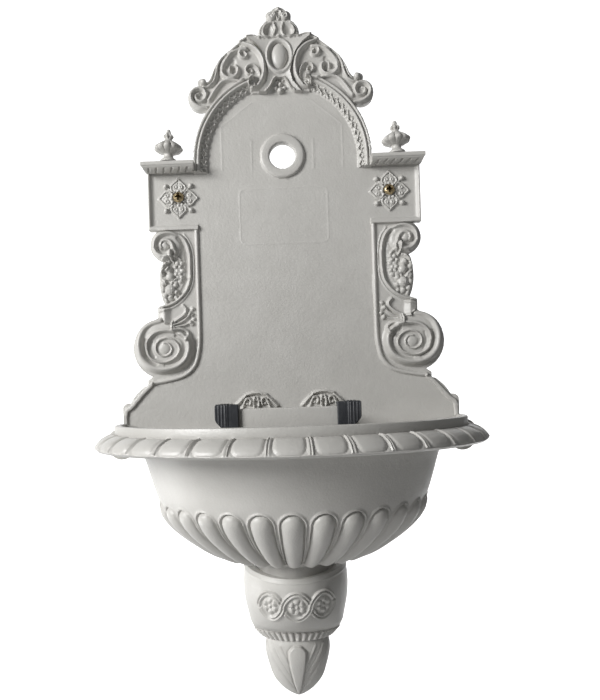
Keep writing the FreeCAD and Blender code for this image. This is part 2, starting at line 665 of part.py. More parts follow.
tail_low = size("drain_tail_z")
tube = drain_ring("drain_tube", [
    (tail - tube_wall, tail_low), (tail, tail_low), (tail, nut_low - 3), (flange - 0.5, nut_low - 3),
    (flange - 0.5, nut_low), (neck, nut_low), (neck, floor), (neck - tube_wall, floor),
    (neck - tube_wall, nut_low), (tail - tube_wall, nut_low - 3)])
bar = doc.addObject("Part::Box", "drain_bar")
bar.Length = 2 * neck - 2
bar.Width = 8
bar.Height = 6
bar.Placement = FreeCAD.Placement(V(1 - neck, drain_y - 4, floor - 9), FreeCAD.Rotation())
bar_hole = cylinder("drain_bar_hole", 2.5, 12, 0, drain_y, floor - 11, UP)
NODES.append(cut("drain_body", join("drain_tube_and_bar", [tube, bar]), [bar_hole]))
NODES.append(drain_ring("drain_screw", [(0, floor - 9), (2.5, floor - 9), (2.5, grid_top - 0.8),
                                        (5, grid_top - 0.8), (4, grid_top + 1), (0, grid_top + 1)]))

# Siphon cover: an open-backed half-round shell that ends in an acanthus leaf, hung on one screw by a bridge.
COVER = [(-464, 55.8, 72), (-478, 57.5, 73), (-492, 58, 71.5), (-514, 55, 65), (-526, 52.4, 58.5),
         (-534, 49, 50.5), (-540, 42.5, 40)]
LEAF = [(-549, 34, 28), (-556, 37, 31), (-568, 38.4, 30.5), (-584, 33.8, 24.5), (-598, 28, 18),
        (-609, 19.5, 11), (-620, 3, 2.5)]
cover_body = body("cover_casting")
loft(cover_body, "AdditiveLoft", "cover_shell", [(z, a, b, 0) for z, a, b in COVER])
band = sketch(cover_body, "dentil_band", "XY_Plane", half_oval(39.5, 36), -553)
pad(cover_body, band, 14)
loft(cover_body, "AdditiveLoft", "leaf", [(z, a, b, 0) for z, a, b in LEAF])
cover_wall = size("cover_wall")
COVER_INSIDE = [(size("cover_top_z") + 1, COVER[0][1] - cover_wall, COVER[0][2] - cover_wall)]
COVER_INSIDE += [(z, a - cover_wall, b - cover_wall) for z, a, b in COVER[1:5]]
COVER_INSIDE += [(size("cover_floor_z"), 43, 45)]
loft(cover_body, "SubtractiveLoft", "cover_inside", [(z, a, b, 0) for z, a, b in COVER_INSIDE])
bridge_low = size("bridge_top_z") - size("bridge_height")
bridge = sketch(cover_body, "bridge", "XZ_Plane", rectangle(-54, 54, bridge_low, size("bridge_top_z")))
pad(cover_body, bridge, "Sizes.bridge_thick")
hang_z = size("bridge_top_z") - 7
hook_radius = 2.7
keyhole = cylinder("keyhole_round", 5.5, 12, 0, 2, hang_z - 9, FRONT)
slot = doc.addObject("Part::Box", "keyhole_slot")
slot.Length = 2 * hook_radius
slot.Width = 12
slot.Height = 9
slot.Placement = FreeCAD.Placement(V(-hook_radius, -10, hang_z - 9), FreeCAD.Rotation())
slot_end = cylinder("keyhole_end", hook_radius, 12, 0, 2, hang_z, FRONT)
NODES.append(cut("siphon_cover", cover_body, [keyhole, slot, slot_end]))


def screw(name, head_y, head_radius, head_length, shank_radius, length, x, z, sunk):
    """A wood screw along +Y with a cross recess: its head's front is at head_y, its thread at the wall."""
    piece = body(name)
    neck_y = head_y + head_length
    points = [(0, head_y), (head_radius, head_y)]
    if not sunk:
        points.append((head_radius, neck_y))
    plain = shank_radius * 0.72
    points += [(plain, neck_y), (plain, 0), (shank_radius, 0), (shank_radius, head_y + length - 6),
               (0, head_y + length)]
    profile = sketch(piece, name + "_profile", "XY_Plane", polygon(*points))
    spin = piece.newObject("PartDesign::Revolution", name + "_turned")
    spin.Profile = profile
    spin.ReferenceAxis = (profile, ["V_Axis"])
    spin.Angle = 360
    arm = head_radius * 0.55
    half = head_radius * 0.13
    cross = polygon(
        (half, half), (arm, half), (arm, -half), (half, -half), (half, -arm), (-half, -arm),
        (-half, -half), (-arm, -half), (-arm, half), (-half, half), (-half, arm), (half, arm))
    recess = sketch(piece, name + "_cross", "XZ_Plane", cross, -head_y)
    pocket(piece, recess, head_radius * 0.35)
    piece.Placement = FreeCAD.Placement(V(x, 0, z), FreeCAD.Rotation())
    return piece


NODES.append(pair("wall_screws", screw("wall_screw", -size("rosette_height"), size("wall_screw_head"), 4,
                                       size("wall_screw_radius"), size("wall_screw_length"),
                                       size("screw_x"), size("screw_z"), True)))
cover_screw = screw("cover_screw", -size("bridge_thick") - 3, 5, 3, 2.5, 50, 0, hang_z, False)
NODES.append(cover_screw)

# Bucket rest: a bar on two arms, bolted to the plate from behind, with a rubber cap on each end.
bar_top = size("rest_bar_top_z")
bar_low = bar_top - size("rest_bar_height")
bar_back = size("rest_bar_y")
bar_front = bar_back - size("rest_bar_thick")
rest_body = body("rest_casting")
bar_outline = rectangle(bar_front, bar_back, bar_low, bar_top)
bar_section = sketch(rest_body, "bar_section", "YZ_Plane", bar_outline)
bar_pad = pad(rest_body, bar_section, "Sizes.rest_bar_half * 2")
bar_pad.Midplane = True
arm_top = bar_top - 3
for side, word in BOTH:
    x = side * size("rest_arm_x")
    half = size("rest_arm_width") / 2
    arm_outline = rectangle(x - half, x + half, arm_top - size("rest_arm_height"), arm_top)
    arm = sketch(rest_body, "arm_" + word, "XZ_Plane", arm_outline, "Sizes.plate_thick + 4")
    pad(rest_body, arm, "-Sizes.rest_bar_y - Sizes.plate_thick - 3")
z = arm_top - size("rest_arm_height") / 2
x = size("rest_arm_x")
radius = "Sizes.rest_bolt_radius"
length = "Sizes.rest_bolt_length"
rest_holes = [cylinder("arm_hole_" + word, radius, length, side * x, 0, z, FRONT) for side, word in BOTH]
NODES.append(cut("bucket_rest", rest_body, rest_holes))
rest_head = cone("rest_bolt_head", "Sizes.rest_bolt_radius * 2", radius, 3, x, 0, z, FRONT)
rest_shank = cylinder("rest_bolt_shank", radius, length, x, 0, z, FRONT)
NODES.append(pair("rest_bolts", join("rest_bolt", [rest_head, rest_shank])))

over = size("cap_over")
for side, word in BOTH:
    outer = side * (size("rest_bar_half") + 3)
    inner = outer - side * size("cap_length")
    corner = 7
    cap_body = body("end_cap_" + word)
    front_view = polygon((inner, bar_low - over), (outer - side * corner, bar_low - over),
                         (outer, bar_low - over + corner), (outer, bar_top + over - 2),
                         (outer - side * 2, bar_top + over), (inner, bar_top + over))
    pad(cap_body, sketch(cap_body, "cap_side_" + word, "XZ_Plane", front_view, over - bar_front),
        2 * over + size("rest_bar_thick"), True)
    mouth_outline = rectangle(bar_front, bar_back, bar_low, bar_top)
    mouth = sketch(cap_body, "cap_mouth_" + word, "YZ_Plane", mouth_outline, abs(inner) * side)
    pocket(cap_body, mouth, size("cap_length") - 3, side > 0)
    NODES.append(cap_body)
doc.recompute()

bad = [item.Name for item in doc.Objects if {"Invalid", "Error"} & set(item.State)]
for node in NODES:
    if node.Shape.isNull() or not node.Shape.isValid() or not node.Shape.Solids:
        bad.append(node.Label)
if bad:
    raise RuntimeError(f"not built: {bad}")
os.makedirs("parts", exist_ok=True)
for node in NODES:
    node.Shape.exportStep(f"parts/{node.Label}.step")
    print(node.Label, len(node.Shape.Solids), "solids", round(node.Shape.Volume), "mm3")
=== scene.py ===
# %% [markdown]
# # A garden wall fountain of painted cast metal
# The fountain is four castings hung on a wall: an ornamental back plate, a half-oval bowl, a half-round
# cover for the trap below it, and a bar in the bowl's mouth that a bucket is set on. The packed
# construction model gives their sizes. This lesson gives them their carving and their paint.

# %% Load the construction model
import math

import bpy
import numpy as np
from mathutils import Matrix, Vector


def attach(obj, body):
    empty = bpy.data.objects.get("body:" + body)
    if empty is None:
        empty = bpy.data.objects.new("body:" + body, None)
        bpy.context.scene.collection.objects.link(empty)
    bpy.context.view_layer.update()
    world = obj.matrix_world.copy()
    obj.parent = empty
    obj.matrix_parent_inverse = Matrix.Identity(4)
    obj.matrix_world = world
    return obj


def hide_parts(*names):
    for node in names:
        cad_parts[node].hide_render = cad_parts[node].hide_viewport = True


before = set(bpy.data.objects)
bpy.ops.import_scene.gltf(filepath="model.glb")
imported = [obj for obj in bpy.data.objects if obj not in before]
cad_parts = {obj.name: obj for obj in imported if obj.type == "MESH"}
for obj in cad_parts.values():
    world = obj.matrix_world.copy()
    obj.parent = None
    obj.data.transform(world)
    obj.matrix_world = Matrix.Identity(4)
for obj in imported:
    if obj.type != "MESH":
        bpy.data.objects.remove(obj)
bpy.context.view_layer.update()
MM = 0.001
print("construction pieces:", len(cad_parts))

# %% [markdown]
# ## Rows of points
# Bowl, cover and urns are all one kind of shape: rings of points laid one above the other. A grid is the
# start, its points are laid on those rows, and the seam and the open ends are closed afterwards. That keeps
# full control of where the carving goes, which a sphere or a lathe would not.

# %% A skin over rows of points
def smooth(piece, angle=40):
    """Shades a piece smoothly, with creases only where its faces turn by more than an angle."""
    bpy.ops.object.select_all(action="DESELECT")
    piece.select_set(True)
    bpy.context.view_layer.objects.active = piece
    bpy.ops.object.shade_smooth_by_angle(angle=math.radians(angle))


def fresh(name, add, **size):
    """A new mesh from one of the plain starting shapes, selected alone."""
    bpy.ops.object.select_all(action="DESELECT")
    add(**size)
    piece = bpy.context.object
    piece.name = piece.data.name = name
    return piece


def grid_of(name, points):
    """A sheet of four-sided faces through rows of points in millimetres."""
    tall, wide = points.shape[:2]
    piece = fresh(name, bpy.ops.mesh.primitive_grid_add, size=1,
                  x_subdivisions=wide - 1, y_subdivisions=tall - 1)
    piece.data.vertices.foreach_set("co", (points * MM).ravel())
    piece.data.update()
    return piece


def change(piece, kind, **settings):
    """Adds one modifier and makes its result the piece's own shape."""
    bpy.ops.object.modifier_add(type=kind)
    for key, value in settings.items():
        setattr(piece.modifiers[-1], key, value)
    bpy.ops.object.modifier_apply(modifier=piece.modifiers[-1].name)


def select_open_edges():
    """Selects the edges that have a face on one side only."""
    bpy.ops.mesh.select_mode(type="EDGE")
    bpy.ops.mesh.select_all(action="DESELECT")
    bpy.ops.mesh.select_non_manifold(extend=False, use_wire=False, use_boundary=True,
                                     use_multi_face=False, use_non_contiguous=False, use_verts=False)


def skin(name, rows, caps=True):
    """A closed mesh over rings of points in millimetres. The last point of a ring meets its first."""
    rows = np.asarray(rows, float)
    piece = grid_of(name, np.concatenate([rows, rows[:, :1]], axis=1))
    bpy.ops.object.mode_set(mode="EDIT")
    bpy.ops.mesh.select_all(action="SELECT")
    bpy.ops.mesh.remove_doubles(threshold=0.00002)
    if caps:
        select_open_edges()
        bpy.ops.mesh.fill_holes(sides=0)
    bpy.ops.mesh.select_all(action="SELECT")
    bpy.ops.mesh.normals_make_consistent(inside=False)
    bpy.ops.object.mode_set(mode="OBJECT")
    smooth(piece)
    print(name, len(piece.data.polygons), "faces")
    return piece


def rounded_box(name, low, high, width):
    """A box between two corners in millimetres, with rounded edges."""
    piece = fresh(name, bpy.ops.mesh.primitive_cube_add, size=1)
    middle = [(a + b) / 2 * MM for a, b in zip(low, high)]
    sides = [(b - a) * MM for a, b in zip(low, high)]
    piece.data.transform(Matrix.Translation(middle) @ Matrix.Diagonal((*sides, 1)))
    change(piece, "BEVEL", width=width * MM, segments=3)
    smooth(piece)
    return piece


def through(points, step):
    """Points a step apart on a smooth curve through the given ones. All their columns run along."""
    points = np.asarray(points, float)
    ends = np.vstack([2 * points[0] - points[1], points, 2 * points[-1] - points[-2]])
    out = []
    for i in range(len(points) - 1):
        a, b, c, d = ends[i:i + 4]
        count = max(1, int(np.ceil(np.hypot(*(c - b)[:2]) / step)))
        t = np.linspace(0, 1, count, endpoint=False)[:, None]
        out.append(0.5 * (2 * b + (c - a) * t + (2 * a - 5 * b + 4 * c - d) * t ** 2
                          + (3 * b - 3 * c + d - a) * t ** 3))
    return np.vstack(out + [points[-1:]])


def raised(surface, height):
    """A surface moved along its own outward side by a height at each of its points."""
    down = np.gradient(surface, axis=0)
    across = np.gradient(surface, axis=1)
    side = np.cross(down, across)
    side /= np.linalg.norm(side, axis=2, keepdims=True) + 1e-9
    return surface + side * height[..., None]


def unit(value):
    """The value, kept between 0 and 1."""
    return np.clip(value, 0, 1)


def repeat(place, pitch, shift=0.5):
    """The distance from the middle of the nearest of many pitches."""
    return ((place / pitch + shift) % 1 - 0.5) * pitch


def level_of(angle, z, half, depth, back=0.0):
    """One level of an oval: its points at these angles from the front, in front of a back."""
    return np.stack([half * np.sin(angle), back - depth * np.cos(angle), np.full_like(angle, z)], axis=1)


def bump(distance, width):
    """A soft ridge: 1 in the middle and 0 from a width away."""
    t = unit(np.abs(distance) / width)
    return (1 - t * t) ** 2


FINE = 1.0
print("full detail")

# %% [markdown]
# ## The bowl
# The real bowl is one casting. Its rim carries eggs between double darts, and the lower half is worked
# into gadroons: convex lobes, each with a thin raised line round it. Cast ornament leaves its mould
# straight, so it is only a few millimetres high and can be laid on a plain half oval as a height.

# %% The bowl's plain shape
FACE = -6.0
BOWL_HALF, BOWL_DEPTH = 197.0, 177.0
RIM_TOP = -302.0
BACK_DIP = 10.0
EGG_TOP, EGG_LOW = -312.0, -328.0
EGG_OUT = 21.3
LOBES = 15
LOBE_PITCH = math.radians(180 / LOBES)
LOBE_TOP, LOBE_LOW = -389.0, -451.0

BELLY = [(-332, 168.5, 150), (-345, 164, 145), (-368, 157.5, 137.5), (-388, 150.5, 131), (-407, 140, 122),
         (-424, 122.5, 107), (-440, 99, 88.5), (-450, 75, 72), (-456, 56, 59)]
FRONT_COUNT = int(600 * FINE) // 2 * 2
turn = np.linspace(-math.pi / 2, math.pi / 2, FRONT_COUNT)
back_share = np.linspace(0, 1, 26)[1:-1]


def half_oval(z, half, depth, back=FACE):
    """The front of one level of the bowl, left to right."""
    return level_of(turn, z, half, depth, back)


def chord(row, back):
    """The straight back of one level, right to left."""
    x = row[-1, 0] + (row[0, 0] - row[-1, 0]) * back_share
    dip = unit(np.minimum(back_share, 1 - back_share) / 0.08)
    level = np.minimum(row[0, 2], RIM_TOP - BACK_DIP * dip)
    return np.stack([x, np.full_like(x, back), level], axis=1)


belly = np.array([half_oval(*section) for section in through(BELLY, 1.15 / FINE)])
egg_edge = through([(0, EGG_TOP), (7, EGG_TOP - 1.6), (15, EGG_TOP - 6), (EGG_OUT - 1.5, EGG_TOP - 11.5),
                    (EGG_OUT, EGG_TOP - 14)], 0.85 / FINE)
eggs = np.array([half_oval(z, BOWL_HALF + out, BOWL_DEPTH + out) for out, z in egg_edge])
print("belly", belly.shape, "eggs", eggs.shape)

# %% Eggs and darts on the rim
EGG_PITCH = 37.2
PANEL_HALF = 14.6
lip = eggs[-1]
walk = np.concatenate([[0], np.cumsum(np.linalg.norm(np.diff(lip, axis=0), axis=1))])
walk -= walk[-1] / 2
down = np.linspace(0, 1, len(eggs))[:, None]
place = repeat(walk, EGG_PITCH)[None, :]

# An egg is a broad soft panel with rounded lower corners. Two thin darts stand between each two.
side_part = (np.abs(place) / PANEL_HALF) ** 4
egg = (side_part + (unit(down - 0.25) / 0.70) ** 4) ** 0.25
egg_height = 1.0 * unit((1 - egg) * PANEL_HALF / 2.4) ** 0.8 * unit(down / 0.08)
egg_height += 0.5 * unit(1 - (place / 12) ** 2 - ((down - 0.48) / 0.42) ** 2)
groove = -0.7 * bump((egg - 1.0) * PANEL_HALF - 0.8, 1.2)
dart = 1.45 * bump(np.abs(np.abs(place) - EGG_PITCH / 2) - 1.35, 1.15) * unit((1 - down) / 0.06)
wall_end = unit((walk[-1] - np.abs(walk)) / 7.0)[None, :]
eggs = raised(eggs, (egg_height + groove + dart) * wall_end)
print("eggs on the rim:", int(walk[-1] * 2 / EGG_PITCH))

# %% Gadroons on the belly
height = belly[:, 0, 2][:, None]
span = np.linalg.norm(belly[:, FRONT_COUNT // 2] - belly[:, FRONT_COUNT // 2 - 1], axis=1)[:, None]
radius = span / (turn[1] - turn[0])
lobe = repeat(turn, LOBE_PITCH)[None, :]
# Arc length down the belly, so that the rounded heads are as round on the slope as they are at the front.
slope = np.concatenate([[0], np.cumsum(np.linalg.norm(np.diff(belly[:, FRONT_COUNT // 2], axis=0), axis=1))])
first = int(np.argmin(np.abs(height[:, 0] - LOBE_TOP)))
run = (slope - slope[first])[:, None]
reach = slope[int(np.argmin(np.abs(height[:, 0] - LOBE_LOW)))] - slope[first]
room = radius * LOBE_PITCH / 2
gap = 4.4 - 3.5 * unit(run / reach)
lobe_half = np.maximum(room - gap, 1.5)
head = 11.5
from_spine = np.sqrt((lobe * radius / lobe_half) ** 2 + (np.clip(head - run, 0, None) / head) ** 2)
edge = (from_spine - 1) * lobe_half
fade = np.sqrt(unit((reach - run) / 7.0))
lobe_relief = (5.6 * unit(1 - from_spine ** 2) ** 0.72 - 1.1 * bump(edge, np.minimum(gap * 0.4, 1.5))
               + 1.5 * bump(edge - gap * 0.52, gap * 0.42)) * fade
lobe_relief *= (run > -8) & (np.abs(turn)[None, :] < math.radians(93))
belly = raised(belly, lobe_relief)
belly[..., 1] = np.minimum(belly[..., 1], FACE)
eggs[..., 1] = np.minimum(eggs[..., 1], FACE)
print("gadroons:", LOBES)

# %% Close the bowl round its inside
DRAIN_Y = -36.0
FLOOR_HOLE, COLLAR_BORE = 18.5, 23.5
FLOOR_LOW, FLOOR_TOP = -461, -449


def ring(z, size):
    """A round hole's edge with the same number of points as a level of the bowl."""
    angle = np.concatenate([turn, math.pi / 2 + math.pi * back_share])
    return level_of(angle, z, size, size, DRAIN_Y)


def closed(front, back):
    return np.vstack([front, chord(front, back)])


bowl_rows = [ring(FLOOR_LOW, FLOOR_HOLE), ring(FLOOR_LOW, COLLAR_BORE), ring(-471, COLLAR_BORE)]
COLLAR = [(-471, 44.5, 55.5), (-470, 46, 57), (-465, 46, 57), (-458, 46, 57), (-457, 49, 58)]
bowl_rows += [closed(half_oval(*section), FACE) for section in COLLAR]
bowl_rows += [closed(row, FACE) for row in belly[::-1]]
UNDER_RIM = [(-331, -22), (-329, -8), (EGG_LOW - 0.6, 8), (EGG_LOW - 0.4, EGG_OUT - 3)]
bowl_rows += [closed(half_oval(z, BOWL_HALF + out, BOWL_DEPTH + out), FACE) for z, out in UNDER_RIM]
bowl_rows += [closed(row, FACE) for row in eggs[::-1]]
TOP_EDGE = [(EGG_TOP + 0.3, 0.2), (EGG_TOP + 4, 0), (RIM_TOP - 1.6, 0), (RIM_TOP - 0.5, -0.5),
            (RIM_TOP, -1.6)]
bowl_rows += [closed(half_oval(z, BOWL_HALF + out, BOWL_DEPTH + out), FACE) for z, out in TOP_EDGE]
INSIDE = [(RIM_TOP, 189.6, 163.6), (RIM_TOP - 0.5, 188.4, 162.4), (RIM_TOP - 1.6, 188, 162),
          (RIM_TOP - 11, 186, 160), (-338, 161, 135), (-368, 151.5, 125.5), (-388, 144.5, 119),
          (-407, 134, 110), (-424, 116.5, 95), (-440, 94, 77), (-447, 80, 68), (FLOOR_TOP, 70, 60)]
INNER_BACK = FACE - 6
bowl_rows += [closed(half_oval(*section, INNER_BACK), INNER_BACK) for section in INSIDE]
bowl_rows += [ring(FLOOR_TOP, FLOOR_HOLE), ring(FLOOR_LOW, FLOOR_HOLE)]
bowl = skin("bowl_casting", bowl_rows, caps=False)

# %% [markdown]
# ## The cover of the trap
# A half-round shell hides the trap and ends in an acanthus leaf. A guilloche, which is two bands that
# plait round a row of rosettes, runs across its belly, with a row of dentils under it. The same rows of
# points carry all of it, and the shell stays open at the back where the pipe runs.

# %% The cover's plain shape
COVER = [(-462.6, 57.4, 70.3), (-469, 58.6, 71.6), (-480, 59.6, 72), (-492, 59.8, 70), (-506, 58.4, 65),
         (-517, 56.2, 58.5), (-527, 54.2, 49), (-533, 52.6, 40)]
STEP = [(-533.4, 52.5, 39), (-536.8, 51.0, 32.5), (-538, 50.2, 30.6)]
BAND = [(-538.4, 48.8, 29.6), (-548.6, 38.4, 28.4)]
LEAF = [(-549.6, 35.6, 28.2), (-555, 36.6, 29.4), (-563, 37.4, 30), (-572, 36.2, 29), (-585, 32.8, 24.5),
        (-598, 28.0, 18.5), (-609, 19.4, 11.5), (-616, 10.5, 6.5), (-620, 2.6, 2.2)]
cover_sections = np.vstack([through(COVER + STEP, 0.8 / FINE), through(BAND, 0.8 / FINE),
                            through(LEAF, 0.85 / FINE)])
COVER_COUNT = int(300 * FINE) // 2 * 2
turn_cover = np.linspace(-math.pi / 2, math.pi / 2, COVER_COUNT)


RIM_FROM, RIM_FULL = -482, -472


def rim_dip(angle, level):
    """How much lower the cover's rim runs at an angle from the front. It fades out below the rim."""
    return 5.2 * np.cos(angle) ** 1.5 * unit((level - RIM_FROM) / 16)


cover = np.array([level_of(turn_cover, *section) for section in cover_sections])
z = cover[..., 2]
widest = cover[int(np.argmin(np.abs(cover_sections[:, 0] + 498)))]
walk_cover = np.concatenate([[0], np.cumsum(np.linalg.norm(np.diff(widest, axis=0), axis=1))])
walk_cover = (walk_cover - walk_cover[-1] / 2)[None, :]
print("cover", cover.shape)

# %% Guilloche, dentils and leaf
PLAIT_PITCH = 29.8
PLAIT_Z, PLAIT_SHIFT, PLAIT_ROUND = -498.0, 1.0, 14.8
plait_walk = walk_cover - PLAIT_SHIFT


def off_line(places, line_levels):
    """How far every point of the cover is from a line drawn on it."""
    least = np.full(z.shape, 99.0)
    for line_place, line_level in zip(places, line_levels):
        least = np.minimum(least, np.hypot(plait_walk - line_place, z - line_level))
    return least


# Two bands of two ridges plait round the rosettes, and where they cross the rising one lies on top.
plait_places = np.linspace(-1.5, 1.5, 420) * PLAIT_PITCH
wave = np.cos(math.pi * plait_places / PLAIT_PITCH)
wave = np.sign(wave) * np.abs(wave) ** 0.62 * PLAIT_ROUND
band_offs = [off_line(plait_places, PLAIT_Z + wave), off_line(plait_places, PLAIT_Z - wave)]
bands = [2.3 * bump(off - 1.75, 1.9) + 0.5 * bump(off, 3.4) for off in band_offs]
first_on_top = np.floor(plait_walk / PLAIT_PITCH) % 2 == 1
top_off = np.where(first_on_top, band_offs[0], band_offs[1])
top_band = np.where(first_on_top, bands[0], bands[1])
low_band = np.where(first_on_top, bands[1], bands[0]) * unit((top_off - 3.4) / 1.4)
relief = np.maximum(top_band, low_band)
for k in (-1, 0, 1):
    along = plait_walk - k * PLAIT_PITCH
    away = np.hypot(along, z - PLAIT_Z)
    angle = np.arctan2(z - PLAIT_Z, along) + 0.5
    petals = np.sqrt(np.abs(np.cos(3 * angle)))
    flower = 2.5 * bump(away - 6.2, 4.0) * petals + 2.4 * bump(away, 2.9)
    relief = np.maximum(relief, flower)
# A thin line under the rim of the cover and above the dentils.
relief += 0.5 * bump(z + 468, 2.0) + 0.4 * bump(z + 530, 1.6)
# Dentils: little rounded teeth on the band.
LOW_RADIUS = 38
TOOTH_PITCH = 6.0
across = (turn_cover * LOW_RADIUS)[None, :]
tooth = np.sqrt(unit(1 - (repeat(across - 1.0, TOOTH_PITCH) / 2.1) ** 2))
in_band = unit((-537.8 - z) / 1.2) * unit((z + 548.8) / 1.6)
relief += 2.4 * tooth * in_band
# Acanthus: a smooth tongue in front, and at each side broad leaves that lie in steps behind it.
LEAF_FROM, LEAF_RUN = -553, 66.0
leaf_zone = unit((LEAF_FROM - z) / 2.0)
share = unit((LEAF_FROM - z) / LEAF_RUN)
narrowing = 1 - 0.72 * unit((share - 0.15) / 0.85) ** 1.4
tongue_half = 0.5 + 10.0 * np.sqrt(unit(share / 0.10)) * narrowing
tongue = unit((tongue_half - np.abs(across)) / 2.4)
leaf = (2.6 + 1.0 * np.sqrt(unit(1 - (across / tongue_half) ** 2))) * tongue ** 0.7
leaf -= 0.6 * bump(np.abs(across) - tongue_half - 1.0, 1.8)
LEAVES_BEHIND = ((24, 9, 0.42, 7.0), (37, 9, 0.72, 9.0), (50, 8, 0.98, 11.0))
for top_across, low_across, low_share, width in LEAVES_BEHIND:
    line = top_across + (low_across - top_across) * (share / low_share) ** 0.85
    behind = np.abs(across) - line
    on_side = (1 - tongue) * (share < low_share + 0.08)
    leaf += 1.0 * unit(1 + behind / width) ** 1.5 * (behind < 0) * on_side
    leaf -= 0.35 * bump(behind + width * 0.45, 0.8) * on_side
relief += leaf * leaf_zone * unit((z + 619) / 8)
cover = raised(cover, relief)
cover[..., 1] = np.minimum(cover[..., 1], 0)
# The rim of the cover runs a little lower in front than at the wall.
cover[..., 2] -= rim_dip(turn_cover[None, :], cover_sections[:, :1])
print("relief up to", round(float(relief.max()), 2), "mm")

# %% Close the cover round its hollow
WALL = 4.5
TOP_WALL = 8.6
HOLLOW_LOW = -532.0
rear_turn = np.linspace(math.pi / 2, -math.pi / 2, 62)
cover_rows = []


def cover_row(front, level, half, depth, hollow):
    """A level's front, then its inside from right to left: a curve in the hollow, a flat below it."""
    if hollow:
        wall = np.interp(level, [RIM_FROM, RIM_FULL], [WALL, TOP_WALL])
        front_wall = np.interp(level, [RIM_FROM, RIM_FULL], [WALL, WALL + 1.0])
        rear = level_of(rear_turn, level - rim_dip(rear_turn, level), half - wall, depth - front_wall)
    else:
        x = np.linspace(front[-1, 0], front[0, 0], 64)[1:-1]
        rear = np.stack([x, np.zeros_like(x), np.full_like(x, level)], axis=1)
    return np.vstack([front, rear])


for front, (level, half, depth) in zip(cover, cover_sections):
    hollow = level > HOLLOW_LOW
    if cover_rows and not hollow and was_hollow:
        cover_rows.append(cover_row(front, level, half, depth, True))
    cover_rows.append(cover_row(front, level, half, depth, hollow))
    was_hollow = hollow
siphon_cover = skin("siphon_cover_casting", cover_rows)

# %% The hanging bridge across the cover's back
bridge = rounded_box("siphon_cover_bridge", (-53.5, -4, -510), (53.5, 0, -486), 0.8)
print("bridge", len(bridge.data.polygons), "faces")

# %% [markdown]
# ## The back plate
# The plate is a relief: everything on it stands straight off the wall, because the pattern had to lift
# out of the sand. So it is made as one height above the wall at every point of a fine grid. Strokes of a
# round tool raise bands, leaves and berries on it, and the grid is then cut to the plate's outline.

# %% A relief to carve
class Relief:
    """Heights off the wall in millimetres on a grid of points, x to the right and z up."""

    def __init__(self, x_low, x_high, z_low, z_high, step, ground):
        self.step = step
        self.x0, self.z0 = x_low, z_low
        self.xs = np.arange(x_low, x_high + step / 2, step)
        self.zs = np.arange(z_low, z_high + step / 2, step)
        self.x, self.z = np.meshgrid(self.xs, self.zs)
        self.h = np.full(self.x.shape, float(ground))

    def window(self, x, z, reach):
        i0 = max(0, int((z - reach - self.z0) / self.step))
        i1 = min(len(self.zs), int((z + reach - self.z0) / self.step) + 2)
        j0 = max(0, int((x - reach - self.x0) / self.step))
        j1 = min(len(self.xs), int((x + reach - self.x0) / self.step) + 2)
        return slice(i0, i1), slice(j0, j1)

    def stamp(self, marks, shape):
        """The highest of many marks (x, z, width, height), each a round of that half width."""
        field = np.zeros(self.h.shape)
        for x, z, width, height in marks:
            part = self.window(x, z, width)
            t = np.hypot(self.x[part] - x, self.z[part] - z) / max(width, 1e-6)
            field[part] = np.maximum(field[part], height * shape(unit(t)))
        return field

    def strokes(self, lines, shape):
        marks = [through(line, self.step * 0.6) for line in lines]
        return self.stamp(np.vstack(marks), shape)

    def raise_by(self, field):
        self.h = self.h + field

    def raise_to(self, height, inside):
        self.h = np.where(inside, np.maximum(self.h, height), self.h)


def round_tool(t):
    return np.sqrt(unit(1 - t * t))


def soft_tool(t):
    return (1 - t * t) ** 1.5


def flat_tool(t):
    return unit((1 - t) / 0.3) ** 0.5


def both_sides(lines):
    """Strokes and their mirror images."""
    out = []
    for line in lines:
        line = np.asarray(line, float)
        out += [line, line * np.array([-1] + [1] * (line.shape[1] - 1))]
    return out


def arc(cx, cz, radius, start, end, count=24):
    angle = np.radians(np.linspace(start, end, count))
    return np.stack([cx + radius * np.cos(angle), cz + radius * np.sin(angle)], axis=1)


def with_size(points, width, height):
    """Gives a bare line of points its half width and height, each one number or one for each end."""
    points = np.asarray(points, float)
    share = np.linspace(0, 1, len(points))
    wide = np.interp(share, np.linspace(0, 1, len(np.atleast_1d(width))), np.atleast_1d(width))
    high = np.interp(share, np.linspace(0, 1, len(np.atleast_1d(height))), np.atleast_1d(height))
    return np.column_stack([points[:, :2], wide, high])


# %% The plate's outline
ARCH_Z, ARCH_OUT = -5.0, 102.0


def bend(a, middle, b, count=14):
    """An arc from a to b through a middle point."""
    (ax, az), (mx, mz), (bx, bz) = a, middle, b
    d = 2 * (ax * (mz - bz) + mx * (bz - az) + bx * (az - mz))
    a_square, m_square, b_square = [x ** 2 + z ** 2 for x, z in (a, middle, b)]
    ux = (a_square * (mz - bz) + m_square * (bz - az) + b_square * (az - mz)) / d
    uz = (a_square * (bx - mx) + m_square * (ax - bx) + b_square * (mx - ax)) / d
    radius = math.hypot(ax - ux, az - uz)
    start = math.atan2(az - uz, ax - ux)
    passing = (math.atan2(mz - uz, mx - ux) - start) % (2 * math.pi)
    end = (math.atan2(bz - uz, bx - ux) - start) % (2 * math.pi)
    if passing > end:
        end -= 2 * math.pi
    angle = start + end * np.linspace(0, 1, count)[1:]
    return list(zip(ux + radius * np.cos(angle), uz + radius * np.sin(angle)))


